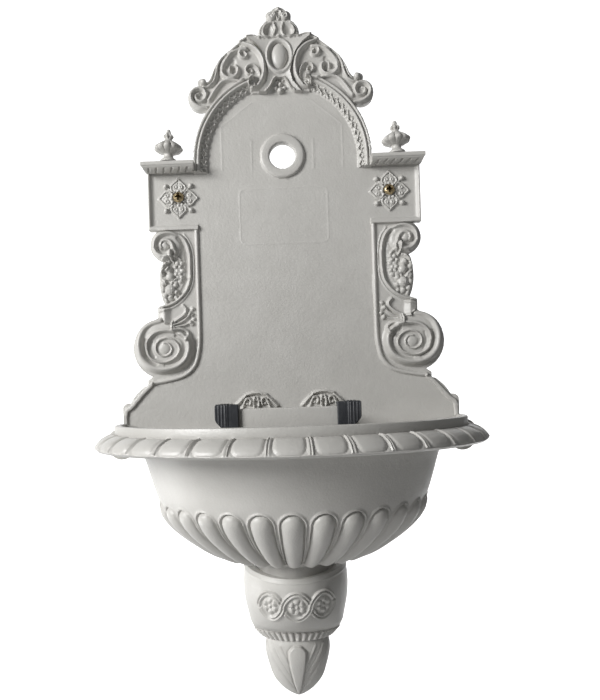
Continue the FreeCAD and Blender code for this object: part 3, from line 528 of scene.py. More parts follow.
EDGE = [(92, -404), (114, -398, 120, -378), (128, -340), (186, -340),
        (199, -343, 211, -331), (212, -318, 193, -308), (193, -284), (191, -280.5, 184, -279),
        (178, -270, 167, -260), (163, -259), (163, -253), (157, -249),
        (178.5, -217, 151, -183), (149, -181), (149, -169), (141, -166),
        (146, -140, 141, -117), (155.5, -99, 146, -81), (156, -81),
        (156, -15.2), (160, -11.6), (160, -7), (102, -7),
        (99.5, 18, 84, 53), (88, 55.5), (106.5, 69, 94, 83), (92.5, 91, 84.5, 86.5), (80, 91),
        (71.5, 107, 59, 122), (52.5, 126.5), (46, 131), (36, 140.5, 22.5, 136),
        (23, 145, 15.5, 154.5), (12.5, 156.5), (14.5, 163, 8, 167.5), (5, 170.5, 0, 171.5)]
half_edge = [(0, -404)]
for step in EDGE:
    if len(step) == 2:
        half_edge.append(step)
    else:
        half_edge += bend(half_edge[-1], step[:2], step[2:])
half_edge = np.array(half_edge)
outline = np.vstack([half_edge, half_edge[-2:0:-1] * (-1, 1)])
print("outline points", len(outline))

# %% [markdown]
# ## Carving the plate
# First the mouldings that a straight tool makes: the arch, the ring round the tap hole, the two blocks and
# the upright strips. Their section is drawn once, as heights at distances from an edge, and holds all along.

# %% Mouldings of the plate
STEP_MM = 0.8
GROUND = 6.0
plate = Relief(-213, 213, -405, 172.4, STEP_MM, GROUND)
X, Z = np.abs(plate.x), plate.z
arch_radius = np.where(Z > ARCH_Z, np.hypot(X, Z - ARCH_Z), X)
from_edge = ARCH_OUT - arch_radius
SECTION = [(-0.1, 6), (0, 12.8), (0.7, 14), (2.2, 14.2), (3.0, 13.2), (3.6, 11.6), (4.2, 13.2), (5.0, 14.6),
           (6.0, 15), (7.0, 14.4), (7.8, 12.6), (8.4, 11.2), (10, 10.2), (12, 9.4), (14.4, 8.8),
           (15.2, 8.6), (15.9, 6)]
arch = np.interp(from_edge, *np.array(SECTION).T)
# Ribbons cross along the hollow of the arch, one crossing every 9.3 mm, with a bud in each eye.
ARCH_MIDDLE, CROSSING = 94, 9.3
along = np.where(Z > ARCH_Z, np.arctan2(X, Z - ARCH_Z) * ARCH_MIDDLE, ARCH_MIDDLE * math.pi / 2 + ARCH_Z - Z)
from_bud = repeat(along, CROSSING, 0.25)
in_hollow = unit((from_edge - 8.2) / 7.2)
swing = CROSSING / 2 * np.cos(math.pi * in_hollow)
ribbon = np.minimum(np.abs(from_bud - swing), np.abs(from_bud + swing))
ribbon = np.minimum(ribbon, CROSSING - np.abs(from_bud) - np.abs(swing))
arch += (2.6 * bump(ribbon, 1.8) - 1.2) * (in_hollow > 0) * (in_hollow < 1)
arch += 1.3 * np.sqrt(unit(1 - np.hypot(from_bud, from_edge - 14.0) ** 2 / 3.4))
arch += 0.9 * np.sqrt(unit(1 - np.hypot(from_bud, from_edge - 9.6) ** 2 / 3.0))
on_arch = (from_edge > 0) & (from_edge < 15.9) & (Z > -16.5) & (X > 30)
plate.h = np.where(on_arch, np.maximum(arch, GROUND), plate.h)

tap = np.hypot(plate.x, plate.z)
plate.h = np.maximum(plate.h, np.interp(tap, [14.6, 15.4, 16.4, 20, 23.4, 24.9, 25.6, 25.8],
                                        [7.6, 8.9, 9.3, 9.5, 9.3, 8.4, 6.8, 6.0]))

# The blocks' raised edge outside, the sill under them, and the bead down each bracket.
side_band = (X > 149.6) & (X < 156.5) & (Z < -14) & (Z > -81)
plate.raise_to(np.interp(X, [149.6, 151.4, 153.4, 154.2, 156.5], [6.0, 6.6, 8.6, 9.6, 9.8]), side_band)
sill_band = (Z < -75.2) & (Z > -81) & (X > 99) & (X < 156)
plate.raise_to(np.interp(Z, [-81, -77.4, -76.6, -75.2], [9.8, 9.6, 8.2, 6.4]), sill_band)
BEAD = [(101.5, -78), (101.5, -120), (101.5, -165), (101.7, -205), (103.4, -222), (106.8, -234.5),
        (113.5, -243.6), (122.5, -249.3), (135, -252.8), (150, -255.3), (156.5, -256)]
bead = plate.strokes([with_size(line, 2.5, 2.9) for line in both_sides([BEAD])], round_tool)
plate.raise_to(GROUND + bead, bead > 0)
print("mouldings up to", round(float(plate.h.max()), 1), "mm off the wall")

# %% [markdown]
# ## Scrolls, leaves and fruit
# Then the carving. Each line below is one stroke of a gouge or a roll of wax laid on the pattern: the tool's
# half width, how high it stands, and the points that it runs through. One side is drawn and mirrored.

# %% Laying strokes
def lay(strokes, tool, sign=1):
    """Adds strokes (half width, height, points), the highest one winning, on both sides."""
    lines = [with_size(line, wide, high) for wide, high, line in strokes]
    field = plate.strokes(both_sides(lines), tool)
    plate.raise_by(sign * field)
    return field


def press(strokes):
    """Takes material away along strokes (half width, depth, points)."""
    lay(strokes, round_tool, -1)


def dots(places, sides=(1, -1)):
    """Berries and balls: (x, z, radius, height)."""
    marks = [(side * x, z, r, h) for x, z, r, h in places for side in sides]
    plate.raise_by(plate.stamp(np.array(marks), round_tool))


def body(x, z, wide, tall, height, power):
    """A low oval body under a scroll, on both sides, flat on top and falling to 0 at its edge."""
    return height * unit(1 - np.hypot((X - x) / wide, (Z - z) / tall) ** power)


# %% The brackets' scrolls
UPPER_WIDE = (2.0, 2.4, 2.6, 2.4, 2.8, 3.4, 3.6, 3.2, 2.4, 2.0)
UPPER_HIGH = (3.4, 3.6, 3.8, 4.2, 4.6, 4.4, 4.0, 3.6)
UPPER_SCROLL = [(146, -169.5), (134, -166.5), (123, -160), (114.5, -150), (110.6, -139), (109.6, -125),
                (110, -110), (112.5, -99), (117.5, -90.5), (126, -85.8), (136, -84.6), (145.5, -88),
                (149.8, -96), (148.6, -105), (142.5, -110.6), (135, -110.2), (130, -105), (129.2, -98.5),
                (133, -93.6), (139, -93), (143, -97), (142, -102)]
LOWER_WIDE = (3.5, 5.6, 6.2, 5.0, 3.4, 2.4, 1.6, 1.5, 1.5, 1.4, 1.3)
LOWER_HIGH = (3.6, 5.0, 5.4, 4.8, 3.8, 3.0, 2.4, 2.1, 1.9)
LOWER_SCROLL = [(146, -184.5), (158, -187.5), (166.5, -194.5), (171.2, -206), (171.4, -217), (168, -228),
                (158.5, -237.3), (144, -241), (129, -238.6), (118, -230.5), (113.4, -218), (115.4, -206.5),
                (123.5, -199.6), (136, -196.4), (150, -198), (159.4, -205.5), (162.4, -215.5), (159, -226),
                (150, -232), (138.5, -232.4), (128, -226.5), (124.4, -217.5), (128.6, -209.5),
                (137.5, -205.2), (147, -207.4), (151.6, -214), (150.4, -221.5), (143.5, -226),
                (136, -223.6), (133.2, -217.4), (136.6, -211.6), (142.5, -211)]
plate.raise_by(np.maximum(body(137, -99, 18.5, 18.5, 3.6, 8), body(143, -216, 36, 31.5, 4.2, 6)))
scrolls = lay([(UPPER_WIDE, UPPER_HIGH, UPPER_SCROLL), (LOWER_WIDE, LOWER_HIGH, LOWER_SCROLL)], soft_tool)
dots([(137.4, -98.6, 5.4, 3.4), (141.6, -217, 6.0, 1.6)])
press([(2.2, 1.3, [(148, -101.5), (143, -106), (136.5, -106)]),
       (1.4, 1.2, [(134, -98), (136, -94.5), (140, -95)]),
       (3.0, 1.6, [(164.5, -207), (165, -216), (161.6, -227), (152, -235)]),
       (2.4, 1.4, [(141, -236.2), (129, -233), (120.6, -225), (118.8, -216), (121, -208), (128, -203.4)]),
       (1.6, 1.0, [(155.5, -208), (157.2, -217), (153.4, -226)])])
# The C-shaped band has a second, thinner line inside it.
lay([(1.1, 1.2, [(148, -174.2), (136, -171.6), (124.5, -165.6), (114, -155.5), (107.4, -142), (105.9, -125),
                 (106.4, -108), (109.5, -96), (116, -86)])], round_tool)
press([(2.6, 1.3, [(145, -164.6), (134, -161.6), (124.6, -155.6), (117.6, -147.5), (114.4, -137),
                   (113.6, -123), (114.2, -108), (117.4, -98), (123, -91)])])
# The end block that the C band runs into.
past_middle = X - 141
rising = (past_middle <= 0) * (Z < -170.5) * (Z > -188.5)
falling = (past_middle > 0) * (Z < -169.5 - past_middle * 0.1) * (Z > -186 + past_middle * 0.7)
plate.raise_by(4.0 * unit((X - 133.5) / 7.0) * rising)
plate.raise_by(4.0 * unit((149.5 - X) / 8.5) ** 0.7 * falling)
print("scrolls", round(float(scrolls.max()), 1))

# %% The husk and the garland on the brackets
lay([(2.4, 3.4, [(132, -187), (126, -184), (118, -178), (116, -172.5), (119.5, -168)]),
     (2.2, 3.0, [(132, -190), (124, -187.5), (116, -183), (111.5, -176.5)]),
     (2.2, 3.0, [(132, -193), (124, -191.6), (116, -190), (111, -187)]),
     (2.4, 3.4, [(131, -196), (122, -195), (114.8, -198), (113.4, -204), (117, -208)]),
     (1.5, 4.4, [(131.4, -185.5), (132.6, -190.5), (131.6, -196)]),
     (1.3, 3.6, [(129.0, -186), (130.0, -190.5), (129.2, -195.5)])], soft_tool)
press([(1.1, 1.0, [(130, -188.5), (122, -185.6), (115, -180)]),
       (1.1, 1.0, [(130, -191.8), (121, -189.8), (113, -187.4)]),
       (1.6, 1.4, [(129, -199.5), (120, -199), (116.6, -202)])])
dots([(108.6, -172.5, 2.6, 2.6), (109.8, -178.5, 2.8, 2.8), (107.6, -184, 2.4, 2.4),
      (109.8, -189.5, 2.8, 2.8)])
# Garland: leaves, a bunch of grapes, small fruit and a pine cone, hung under the upper scroll.
lay([((1.8, 2.0, 1.6, 1.0), (3.6, 4.0, 3.6, 2.4), [(132, -104), (131.4, -110), (130.6, -115), (128, -119)]),
     ((1.6, 2.0, 1.0), (3.2, 3.6, 2.0), [(127.6, -101), (126, -107.5), (127, -114)]),
     ((2.0, 2.4, 1.6), (3.4, 4.0, 2.4), [(137, -119), (140.6, -124), (143, -130)])], soft_tool)
grapes = []
for i in range(6):
    for j in range(2):
        grapes.append((119.6 + 4.9 * j + (i % 2) * 2.2 + 0.5 * math.sin(5 * i + 3 * j), -119.5 - 4.1 * i,
                       2.7 + 0.3 * math.sin(4 * i + 7 * j), 2.6 + 0.8 * math.sin(2 * i + j)))
lay([(1.6, 2.6, [(133, -112), (139, -113.6), (143.6, -117.6)]),
     (1.6, 2.6, [(133.6, -117.6), (139.4, -119.6), (143.4, -124)]),
     (1.4, 2.2, [(128, -111), (123.6, -112.4), (120.6, -115.6)]),
     (1.5, 2.4, [(143.6, -127.6), (138, -127), (134.6, -123.4)]),
     (1.4, 2.2, [(143.4, -136.6), (139.4, -138.6), (137.6, -142.6)]),
     (1.4, 2.2, [(126.4, -137), (130, -139), (132, -142)])], round_tool)
dots(grapes + [(134.6, -126.5, 4.4, 4.2), (133.4, -134.6, 5.2, 4.8), (127.4, -144.5, 3.0, 3.2),
               (133.6, -149.6, 6.6, 5.4), (126.6, -152.4, 3.2, 3.6), (133.2, -159, 3.6, 3.6),
               (141.4, -142, 3.6, 3.6), (141.8, -149, 3.4, 3.4), (139.6, -156, 3.6, 3.4),
               (142.6, -131, 3.2, 3.2), (127.6, -158.4, 2.6, 3.0), (138.4, -162, 2.6, 2.8)])
cone = np.hypot((X - 133.6) / 6.6, (Z + 149.6) / 6.6) < 0.95
plate.raise_by(0.55 * np.cos((X + Z) * 2.2) * np.cos((X - Z) * 2.2) * cone)
print("grapes in a bunch:", len(grapes))

# %% The rosettes on the blocks
ROSE_X, ROSE_Z = 121.0, -44.6
# Four pointed petals stand on the axes. Each has a raised rim, a sunk vein and two curled leaves in it.
star = np.zeros(X.shape)
for k in range(4):
    cos_k, sin_k = round(math.cos(math.pi / 2 * k)), round(math.sin(math.pi / 2 * k))
    out_along = (X - ROSE_X) * cos_k + (Z - ROSE_Z) * sin_k
    sideways = np.abs((Z - ROSE_Z) * cos_k - (X - ROSE_X) * sin_k)
    petal_half = np.interp(out_along, [5, 8, 11, 15, 18, 21, 24.4], [4.5, 8.0, 10.2, 9.2, 5.8, 2.6, 0.0])
    inwards = petal_half - sideways
    petal = 1.9 * unit(inwards / 1.6) ** 0.7 + 0.8 * bump(inwards - 1.4, 1.3)
    petal -= 0.8 * bump(inwards - 3.6, 1.2) + 0.7 * bump(sideways, 0.9) * (out_along > 15)
    petal += 1.2 * bump(np.hypot(out_along - 13, sideways - 3.4) - 1.6, 1.3)
    star = np.maximum(star, petal * (out_along > 5) * (inwards > 0))
plate.raise_by(star)
steps_round = [math.pi / 6 * k for k in range(12)]
dots([(ROSE_X + 8.0 * math.cos(turned), ROSE_Z + 8.0 * math.sin(turned), 1.7, 1.5)
      for turned in steps_round])
# A leaf that ends in a ball points to each corner of the block.
CORNERS = [(sx, sz) for sx in (1, -1) for sz in (1, -1)]
lay([(1.7, 2.0, [(ROSE_X + sx * 7.6, ROSE_Z + sz * 7.6), (ROSE_X + sx * 11.5, ROSE_Z + sz * 11.3)])
     for sx, sz in CORNERS], soft_tool)
dots([(ROSE_X + sx * 14.4, ROSE_Z + sz * 14.0, 3.1, 4.4) for sx, sz in CORNERS])
# A dished seat for the screw's head.
SCREW_X, SCREW_Z = 120.7, -44.0
seat = np.hypot(X - SCREW_X, Z - SCREW_Z)
plate.h = np.where(seat < 7.6, np.minimum(plate.h, 9.2 + 0.35 * (seat - 6.0)), plate.h)
plate.h = np.where(seat < 6.4, 6.4, plate.h)
print("rosettes up to", round(float(star.max()), 1), "mm high")

# %% The cresting: medallion, shell and scrolls
above = (arch_radius > ARCH_OUT) & (Z > 40) | (X < 34) & (Z > 72.6)
plate.raise_by(np.where(above & (Z < 136), 2.4, 0))
oval = np.hypot(X / 15.4, (Z - 113.2) / 20.4)
ring_line = np.interp(oval, [0.55, 0.62, 0.74, 0.80, 0.90, 0.98, 1.04], [-0.3, -0.8, -0.4, 3.0, 4.0, 2.2, 0])
stone = np.hypot(X / 8.8, (Z - 113.4) / 14.6)
# The shell flares from a waist under the medallion to its two top corners and to its bottom lips.
waist = np.interp(Z, [72, 76, 84, 95, 105, 118, 128, 134, 140], [25, 21, 14.5, 12, 14.5, 19, 27, 35, 38])
shell = 2.0 + 3.4 * np.clip(X / waist, 0, 1.2) ** 2
plate.raise_by(np.where((X < waist) & (Z > 72.4) & (Z < 139.5), shell, 0))
plate.raise_by(np.where(oval < 1.04, ring_line - shell * unit((1.04 - oval) / 0.2) * 0.6, 0))
plate.raise_by(5.6 * np.sqrt(unit(1 - stone ** 2)))
open_below = X < np.interp(Z, [72, 77.6, 85.6, 88.6, 89.6], [16.5, 11.4, 7.4, 5.0, -1])
plate.h = np.where(open_below & (Z > 72) & (Z < 90), 6.6, plate.h)
# Below the medallion the shell parts, and the ground shows between its lips.
C_SCROLL = [(46, 132.5), (39.6, 129.6), (31, 125.6), (23.4, 118.6), (18.8, 108.6), (17.9, 96.5), (20.4, 87),
            (25.2, 80), (29.8, 77.8), (33.9, 79.8), (34.6, 83.8), (31.6, 86.4), (28, 85.4), (27.4, 82.2),
            (29.6, 81)]
CURLS = [(23.4, 84), (22.4, 91), (24.8, 99.6), (30, 104.6), (36, 103.6), (38.6, 98.8), (36.4, 94.6),
         (32.4, 95.2), (31.6, 98.6), (34.2, 100)]
S_LEAF = [(39.6, 119.4), (37, 116.6), (38.8, 113.4), (43, 113.6), (45.6, 117.4), (43.6, 121.8), (38, 123),
          (50, 121.5), (59, 115), (65.6, 105.6), (65.8, 96), (59.6, 90.4), (51.6, 91.6), (47.6, 98),
          (50.4, 104), (56, 103.4), (57, 98.6)]
FLAME = [(66.4, 114), (71.2, 103), (73.2, 94), (76.4, 86.4), (82, 82), (88, 81.4)]
FLAME_OUT = [(61, 119.4), (68.4, 110.6), (75, 99), (78.6, 90), (82.6, 85.6)]
END_SCROLL = [(84, 57.4), (93, 58.6), (101.4, 64.6), (102.4, 73), (96.6, 79.2), (88.4, 78.4), (85, 71.6),
              (88.4, 65.6), (95, 66.4), (97, 71.6), (93.4, 73.8)]
lay([((2.0, 3.6, 3.8, 3.6, 3.4, 2.6, 1.6, 1.5, 1.4), (3.0, 5.4, 6.2, 6.4, 6.0, 5.2, 4.8, 4.6), C_SCROLL),
     ((1.5, 1.8, 1.8, 1.5, 1.3), (3.0, 4.0, 4.2, 3.8, 3.4), CURLS),
     ((1.6, 2.2, 2.8, 3.4, 3.8, 3.6, 3.0, 2.4, 2.0), (3.6, 3.8, 4.4, 4.8, 5.2, 5.0, 4.6, 4.0), S_LEAF),
     ((1.2, 2.2, 2.4, 2.4, 1.6), (3.2, 4.4, 4.6, 4.2, 3.0), FLAME),
     ((1.0, 1.8, 2.0, 1.4), (2.4, 3.4, 3.4, 2.6), FLAME_OUT),
     ((2.2, 2.6, 3.2, 3.6), (3.0, 3.8, 4.2, 4.0), [(42, 86), (56, 88.6), (66, 86.4), (74, 78), (82, 66)]),
     ((2.6, 3.4, 3.6, 3.2, 2.6, 2.2, 2.0), (4.0, 5.4, 5.6, 5.0, 4.2, 4.0), END_SCROLL)], soft_tool)
lay([(1.6, 2.2, [(22, 134.5), (30, 138), (38, 136), (45, 130.4), (53, 125), (59, 120)]),
     (1.5, 3.0, [(5, 88.6), (7.4, 85.6), (11.4, 77.6), (16, 73.6)])], soft_tool)
press([(2.6, 1.6, [(54, 98.4), (53, 110), (60, 104)]), (2.4, 1.4, [(30, 98), (34, 97)]),
       (2.8, 1.8, [(47, 126.5), (56, 121.5), (64, 112), (68.6, 100)]),
       (2.0, 1.2, [(52, 95), (49.6, 101)])])
dots([(88, 87, 4.2, 5.0), (4.8, 77.8, 2.2, 3.4), (3.0, 86, 1.6, 2.4), (30.6, 82.2, 1.5, 1.6)])
# A small coil ends the inner scroll and covers what was there.
COIL_X, COIL_Z, COIL_SIZE = 30.4, 82.0, 4.6
reach = np.hypot(X - COIL_X, Z - COIL_Z)
wind = (reach / 3.4 - np.arctan2(Z - COIL_Z, X - COIL_X) / (2 * math.pi)) % 1
coil = 11.0 + 1.8 * (0.5 + 0.5 * np.cos(2 * math.pi * wind)) ** 0.8 - 1.2 * unit(reach / COIL_SIZE) ** 4
plate.h = np.where(reach < COIL_SIZE, coil, plate.h)
dots([(0, 82, 2.6, 3.8), (0, 74.6, 3.8, 5.4)], [1])
print("medallion", round(float(plate.h[(X < 3) & (Z > 100) & (Z < 125)].max()), 1), "mm off the wall")

# %% The palmette at the top
half_at = np.interp(Z, [134, 140, 145, 150, 154, 156.5, 160, 163, 166, 168, 170, 171.6],
                    [22.6, 22.4, 21.8, 19.8, 16.2, 12.6, 12.8, 12.4, 10.0, 7.0, 4.0, 0.5])
plate.raise_by(np.where((Z > 134.6) & (X < half_at), 1.6, 0))
# Two ears with a sunk egg in each, a flute between them, and two balls and a bud on top.
lay([((1.4, 1.8, 1.8, 1.4), (2.6, 3.6, 3.6, 2.6),
      [(12.6, 134.4), (16.6, 136.4), (18, 142.2), (15.8, 148.4), (10, 152.2), (4.6, 153)]),
     ((1.2, 1.4, 1.0), (2.4, 3.2, 2.0), [(5.6, 152.6), (3.6, 146), (5.4, 138.6)]),
     (1.1, 2.6, [(4.2, 164.4), (2.2, 160.4), (0.4, 156)])], soft_tool)
press([((2.6, 4.8, 2.6), (1.0, 2.4, 1.0), [(11.2, 137), (11.6, 142), (10.6, 147.4)])])
lay([(1.2, 1.2, [(17.6, 134), (21, 138), (21.2, 143.4), (18.6, 149.4), (13.6, 153.6)])], soft_tool)
dots([(7.4, 160.2, 4.8, 4.6), (6.4, 137.2, 1.8, 1.8), (11.2, 135.8, 1.4, 1.4), (2.9, 165.4, 1.9, 2.2)])
press([(1.1, 1.6, [(5.8, 160.4), (7.6, 162), (9.2, 160.2), (7.8, 158.6)])])
dots([(0, 168.2, 2.7, 3.4), (0, 136, 2.3, 2.2)], [1])
print("cresting up to", round(float(plate.h[Z > 60].max()), 1), "mm off the wall")

# %% Panels of fine raised line, and the palmettes of the bucket rest
FINE_LINES = [[(-69.5, -14), (-69.5, 36), (-33, 63.6), (35, 63.6), (69.5, 35), (69.5, -14)],
              [(-35.5, -15), (-35.5, 18)], [(35.5, -15), (35.5, 18)]]
panel = []
for cx, cz, start in ((44.5, -42.5, 90), (44.5, -94, 0), (-44.5, -94, -90), (-44.5, -42.5, -180)):
    panel += [tuple(p) for p in arc(cx, cz, 6, start, start - 90, 7)]
panel.append(panel[0])
FINE_HALF, FINE_HIGH = 0.8, 0.32


def straight(points, step=0.5):
    """Points along straight runs, with the fine line's width and height."""
    out = []
    for (ax, az), (bx, bz) in zip(points[:-1], points[1:]):
        count = max(2, int(math.hypot(bx - ax, bz - az) / step))
        for i in range(count):
            out.append((ax + (bx - ax) * i / count, az + (bz - az) * i / count, FINE_HALF, FINE_HIGH))
    return out + [(*points[-1], FINE_HALF, FINE_HIGH)]


fine = [mark for line in FINE_LINES + [panel] for mark in straight(line)]
plate.raise_by(plate.stamp(np.array(fine), soft_tool))
PALM_X, PALM_Z = 38.5, -288.0
plate.raise_by(2.6 * unit(1 - np.hypot((X - PALM_X) / 25, (Z - PALM_Z + 6) / 24) ** 4) * (Z > -312))


def from_middle(points, side=1):
    """Points measured from the palmette's middle, to one side of it."""
    return [(PALM_X + side * x, PALM_Z + z) for x, z in points]


crown = [(1.9, 3.6, from_middle([(-12, 14.6), (-4, 16.6), (4, 16.6), (12, 14.6)]))]
for side in (1, -1):
    crown.append(((2.6, 2.4, 1.6), (3.8, 4.4, 3.6), from_middle([(24, 1.5), (18.5, 7.6), (12.6, 13)], side)))
    crown.append((1.9, (3.0, 4.4, 3.4), from_middle([(16.5, -2), (12.6, 8.4), (9, 11), (6, 8),
                                                     (7.4, 3.4)], side)))
    crown.append((1.6, 4.0, from_middle([(1.4, 12), (3.2, 6), (1.8, -2)], side)))
lay(crown, soft_tool)
press([(1.3, 1.6, from_middle([(-10, 12.4), (-3, 13.8), (3, 13.8), (10, 12.4)]))])
dots([(PALM_X - 10.4, PALM_Z + 4.6, 1.7, 2.6), (PALM_X + 10.4, PALM_Z + 4.6, 1.7, 2.6),
      (PALM_X, PALM_Z + 9, 1.6, 2.4)])

# The bottom steps: a flat fillet along the edge from the brackets to behind the bowl.
lay([(2.6, 2.6, [(158, -257.5), (161.4, -260.6), (168.4, -267.4), (175.6, -275.6), (182.6, -283.4),
                 (188, -287.4), (189.6, -294), (189.8, -306)])], flat_tool)
print("plate relief", plate.h.shape)

# %% [markdown]
# ## From the relief to the casting
# A grid of the relief's points is cut to the outline, its loose border is drawn onto the outline, and the
# rim is pulled straight back to the wall. Flat ground needs few faces, so the front is thinned first,
# where nothing is lost by it. The flat back is then filled in.

# %% Cut the relief to its outline
def inside_of(loops, xs, zs):
    """Which points of a grid lie inside the outline and outside its holes."""
    mask = np.zeros((len(zs), len(xs)), bool)
    for i, level in enumerate(zs):
        crossings = []
        for loop in loops:
            nxt = np.roll(loop, -1, axis=0)
            hit = (loop[:, 1] > level) != (nxt[:, 1] > level)
            a, b = loop[hit], nxt[hit]
            crossings.append(a[:, 0] + (level - a[:, 1]) * (b[:, 0] - a[:, 0]) / (b[:, 1] - a[:, 1]))
        mask[i] = np.searchsorted(np.sort(np.concatenate(crossings)), xs) % 2 == 1
    return mask


def dense(loop, step=0.3):
    """Many points along a closed line."""
    out = []
    for a, b in zip(loop, np.roll(loop, -1, axis=0)):
        count = max(1, int(np.hypot(*(b - a)) / step))
        out.append(a + (b - a) * np.linspace(0, 1, count, endpoint=False)[:, None])
    return np.vstack(out)


def circle(x, z, radius, count=72):
    return arc(x, z, radius, 0, 360, count + 1)[:-1]


ARM_X = 39
HOLES = [circle(0, 0, 15)]
for side in (1, -1):
    HOLES += [circle(side * SCREW_X, SCREW_Z, 3.3, 36), circle(side * 88, -352, 4.4, 36),
              circle(side * ARM_X, -299, 3.3, 36)]
loops = [outline] + HOLES
solid = inside_of(loops, plate.xs, plate.zs)

# Only points near a line need their distance from it, so a band of a few steps along it is measured.
line_points = np.vstack([dense(loop) for loop in loops])
cell = {}
for n, (px, pz) in enumerate(line_points):
    cell.setdefault((int(px // 2), int(pz // 2)), []).append(n)
inner = solid[1:-1, 1:-1]
band = np.zeros_like(solid)
band[1:-1, 1:-1] = ((inner != solid[:-2, 1:-1]) | (inner != solid[2:, 1:-1])
                    | (inner != solid[1:-1, :-2]) | (inner != solid[1:-1, 2:]))
for _ in range(max(2, int(2.0 / STEP_MM))):
    grown = band.copy()
    grown[1:] |= band[:-1]
    grown[:-1] |= band[1:]
    grown[:, 1:] |= band[:, :-1]
    grown[:, :-1] |= band[:, 1:]
    band = grown
distance = np.full(solid.shape, 99.0)
closest = np.zeros(solid.shape + (2,))
for r, c in zip(*np.nonzero(band)):
    px, pz = plate.xs[c], plate.zs[r]
    i, j = int(px // 2), int(pz // 2)
    ids = [n for di in (-1, 0, 1) for dj in (-1, 0, 1) for n in cell.get((i + di, j + dj), ())]
    if ids:
        d = np.hypot(line_points[ids, 0] - px, line_points[ids, 1] - pz)
        k = int(np.argmin(d))
        distance[r, c] = d[k]
        closest[r, c] = line_points[ids[k]]
kept = solid | (distance < STEP_MM * 0.5)
print("points kept:", int(kept.sum()), "of", kept.size)

# %% Make the plate's mesh
ROUND = 1.3
soften = np.clip(ROUND - distance, 0, ROUND)
worn = ROUND - np.sqrt(np.clip(ROUND ** 2 - soften ** 2, 0, None))
height_map = np.clip(plate.h - np.where(kept, worn, 0) * 0.9, 4.6, None)
faces_kept = kept[:-1, :-1] & kept[1:, :-1] & kept[:-1, 1:] & kept[1:, 1:]
# A corner is on the border where one of its four faces is missing, and is drawn onto the line.
used = np.zeros(kept.shape, int)
for i, j in ((0, 0), (1, 0), (0, 1), (1, 1)):
    used[i:faces_kept.shape[0] + i, j:faces_kept.shape[1] + j] += faces_kept
border = (used > 0) & (used < 4) & (distance < 3 * STEP_MM)
px = np.where(border, closest[..., 0], plate.x)
pz = np.where(border, closest[..., 1], plate.z)
casting = grid_of("back_plate_casting", np.stack([px, -height_map, pz], axis=2))
bpy.ops.object.mode_set(mode="EDIT")
bpy.ops.mesh.select_mode(type="FACE")
bpy.ops.mesh.select_all(action="DESELECT")
bpy.ops.object.mode_set(mode="OBJECT")
casting.data.polygons.foreach_set("select", ~faces_kept.ravel())
bpy.ops.object.mode_set(mode="EDIT")
bpy.ops.mesh.delete(type="FACE")
bpy.ops.mesh.select_all(action="SELECT")
bpy.ops.mesh.delete_loose()
bpy.ops.mesh.select_all(action="SELECT")
bpy.ops.mesh.remove_doubles(threshold=0.00008)
bpy.ops.object.mode_set(mode="OBJECT")
MOST_TRIANGLES = 172000
change(casting, "DECIMATE", ratio=min(1.0, MOST_TRIANGLES / (2 * len(casting.data.polygons))))
print("front of the plate:", len(casting.data.polygons), "faces")

# %% Pull the border back to the wall and close the back
bpy.ops.object.mode_set(mode="EDIT")
select_open_edges()
bpy.ops.mesh.extrude_edges_move()
bpy.ops.transform.resize(value=(1, 0, 1), center_override=(0, 0, 0))
# The fill leaves parts of the back open. They lie against the wall, where nothing of them is seen.
bpy.ops.mesh.fill(use_beauty=False)
bpy.ops.mesh.select_all(action="SELECT")
bpy.ops.mesh.normals_make_consistent(inside=False)
bpy.ops.object.mode_set(mode="OBJECT")
smooth(casting, 50)
print("back plate:", len(casting.data.polygons), "faces")

# %% [markdown]
# ## Cornices
# The cornice over each block stands out four times as far as the plate is thick, so it is a moulding of
# its own: one section, repeated along its length and turned back to the wall at its ends.

# %% The cornice's section, swept
TOP_Z, CORNICE_OUT = -7.0, 25.9
COVE_Z = -15.6
cove_points = through([(24.9, -11.7), (23.8, -13.1), (20.8, -14.7), (16.6, -15.8), (12.6, -16.2),
                       (9.0, COVE_Z)], 0.45)
FILLET = [(0, TOP_Z), (8, TOP_Z), (16, TOP_Z), (CORNICE_OUT - 0.8, TOP_Z),
          (CORNICE_OUT - 0.2, TOP_Z - 0.25), (CORNICE_OUT, TOP_Z - 0.8), (CORNICE_OUT, -10.8),
          (CORNICE_OUT - 0.2, -11.3), (CORNICE_OUT - 0.7, -11.6)]
section = np.vstack([FILLET, cove_points, [(0, COVE_Z)]])
cove_share = np.zeros(len(section))
cove_share[len(FILLET):-1] = np.linspace(0, 1, len(cove_points))
cove_share[-1] = 1
INNER_X, OUTER_X = 100.5, 160.0
SIDES = ((1, "right"), (-1, "left"))
cornices = []
for side, word in SIDES:
    profile_rows = []
    for x in np.arange(INNER_X, OUTER_X + 0.01, 0.45):
        # The outer end follows the hollow inwards, as a mitred return does.
        row = np.array([(x, d, z) for d, z in section], float)
        inward = np.interp(cove_share, [0, 0.02, 0.5, 1], [0, 1.0, 3.2, 4.6])
        row[:, 0] = INNER_X + (x - INNER_X) * (OUTER_X - inward - INNER_X) / (OUTER_X - INNER_X)
        # Leaves lean one way along the hollow, one every 9 mm, with a dark gap between each two.
        phase = ((side * x + 7.5 * cove_share - 2.2) / 9.03) % 1
        leaf_rise = unit(np.abs(phase - 0.5) * -4.6 + 2.3) ** 0.6
        in_leaf = unit((cove_share - 0.16) / 0.12) * unit((0.93 - cove_share) / 0.12)
        row[:, 1] -= 1.2 * (1 - leaf_rise) * in_leaf
        row[:, 2] += (1.8 - 2.1 * leaf_rise) * in_leaf
        profile_rows.append(np.stack([side * row[:, 0], -row[:, 1], row[:, 2]], axis=1))
    cornices.append(skin("cornice_" + word, profile_rows))

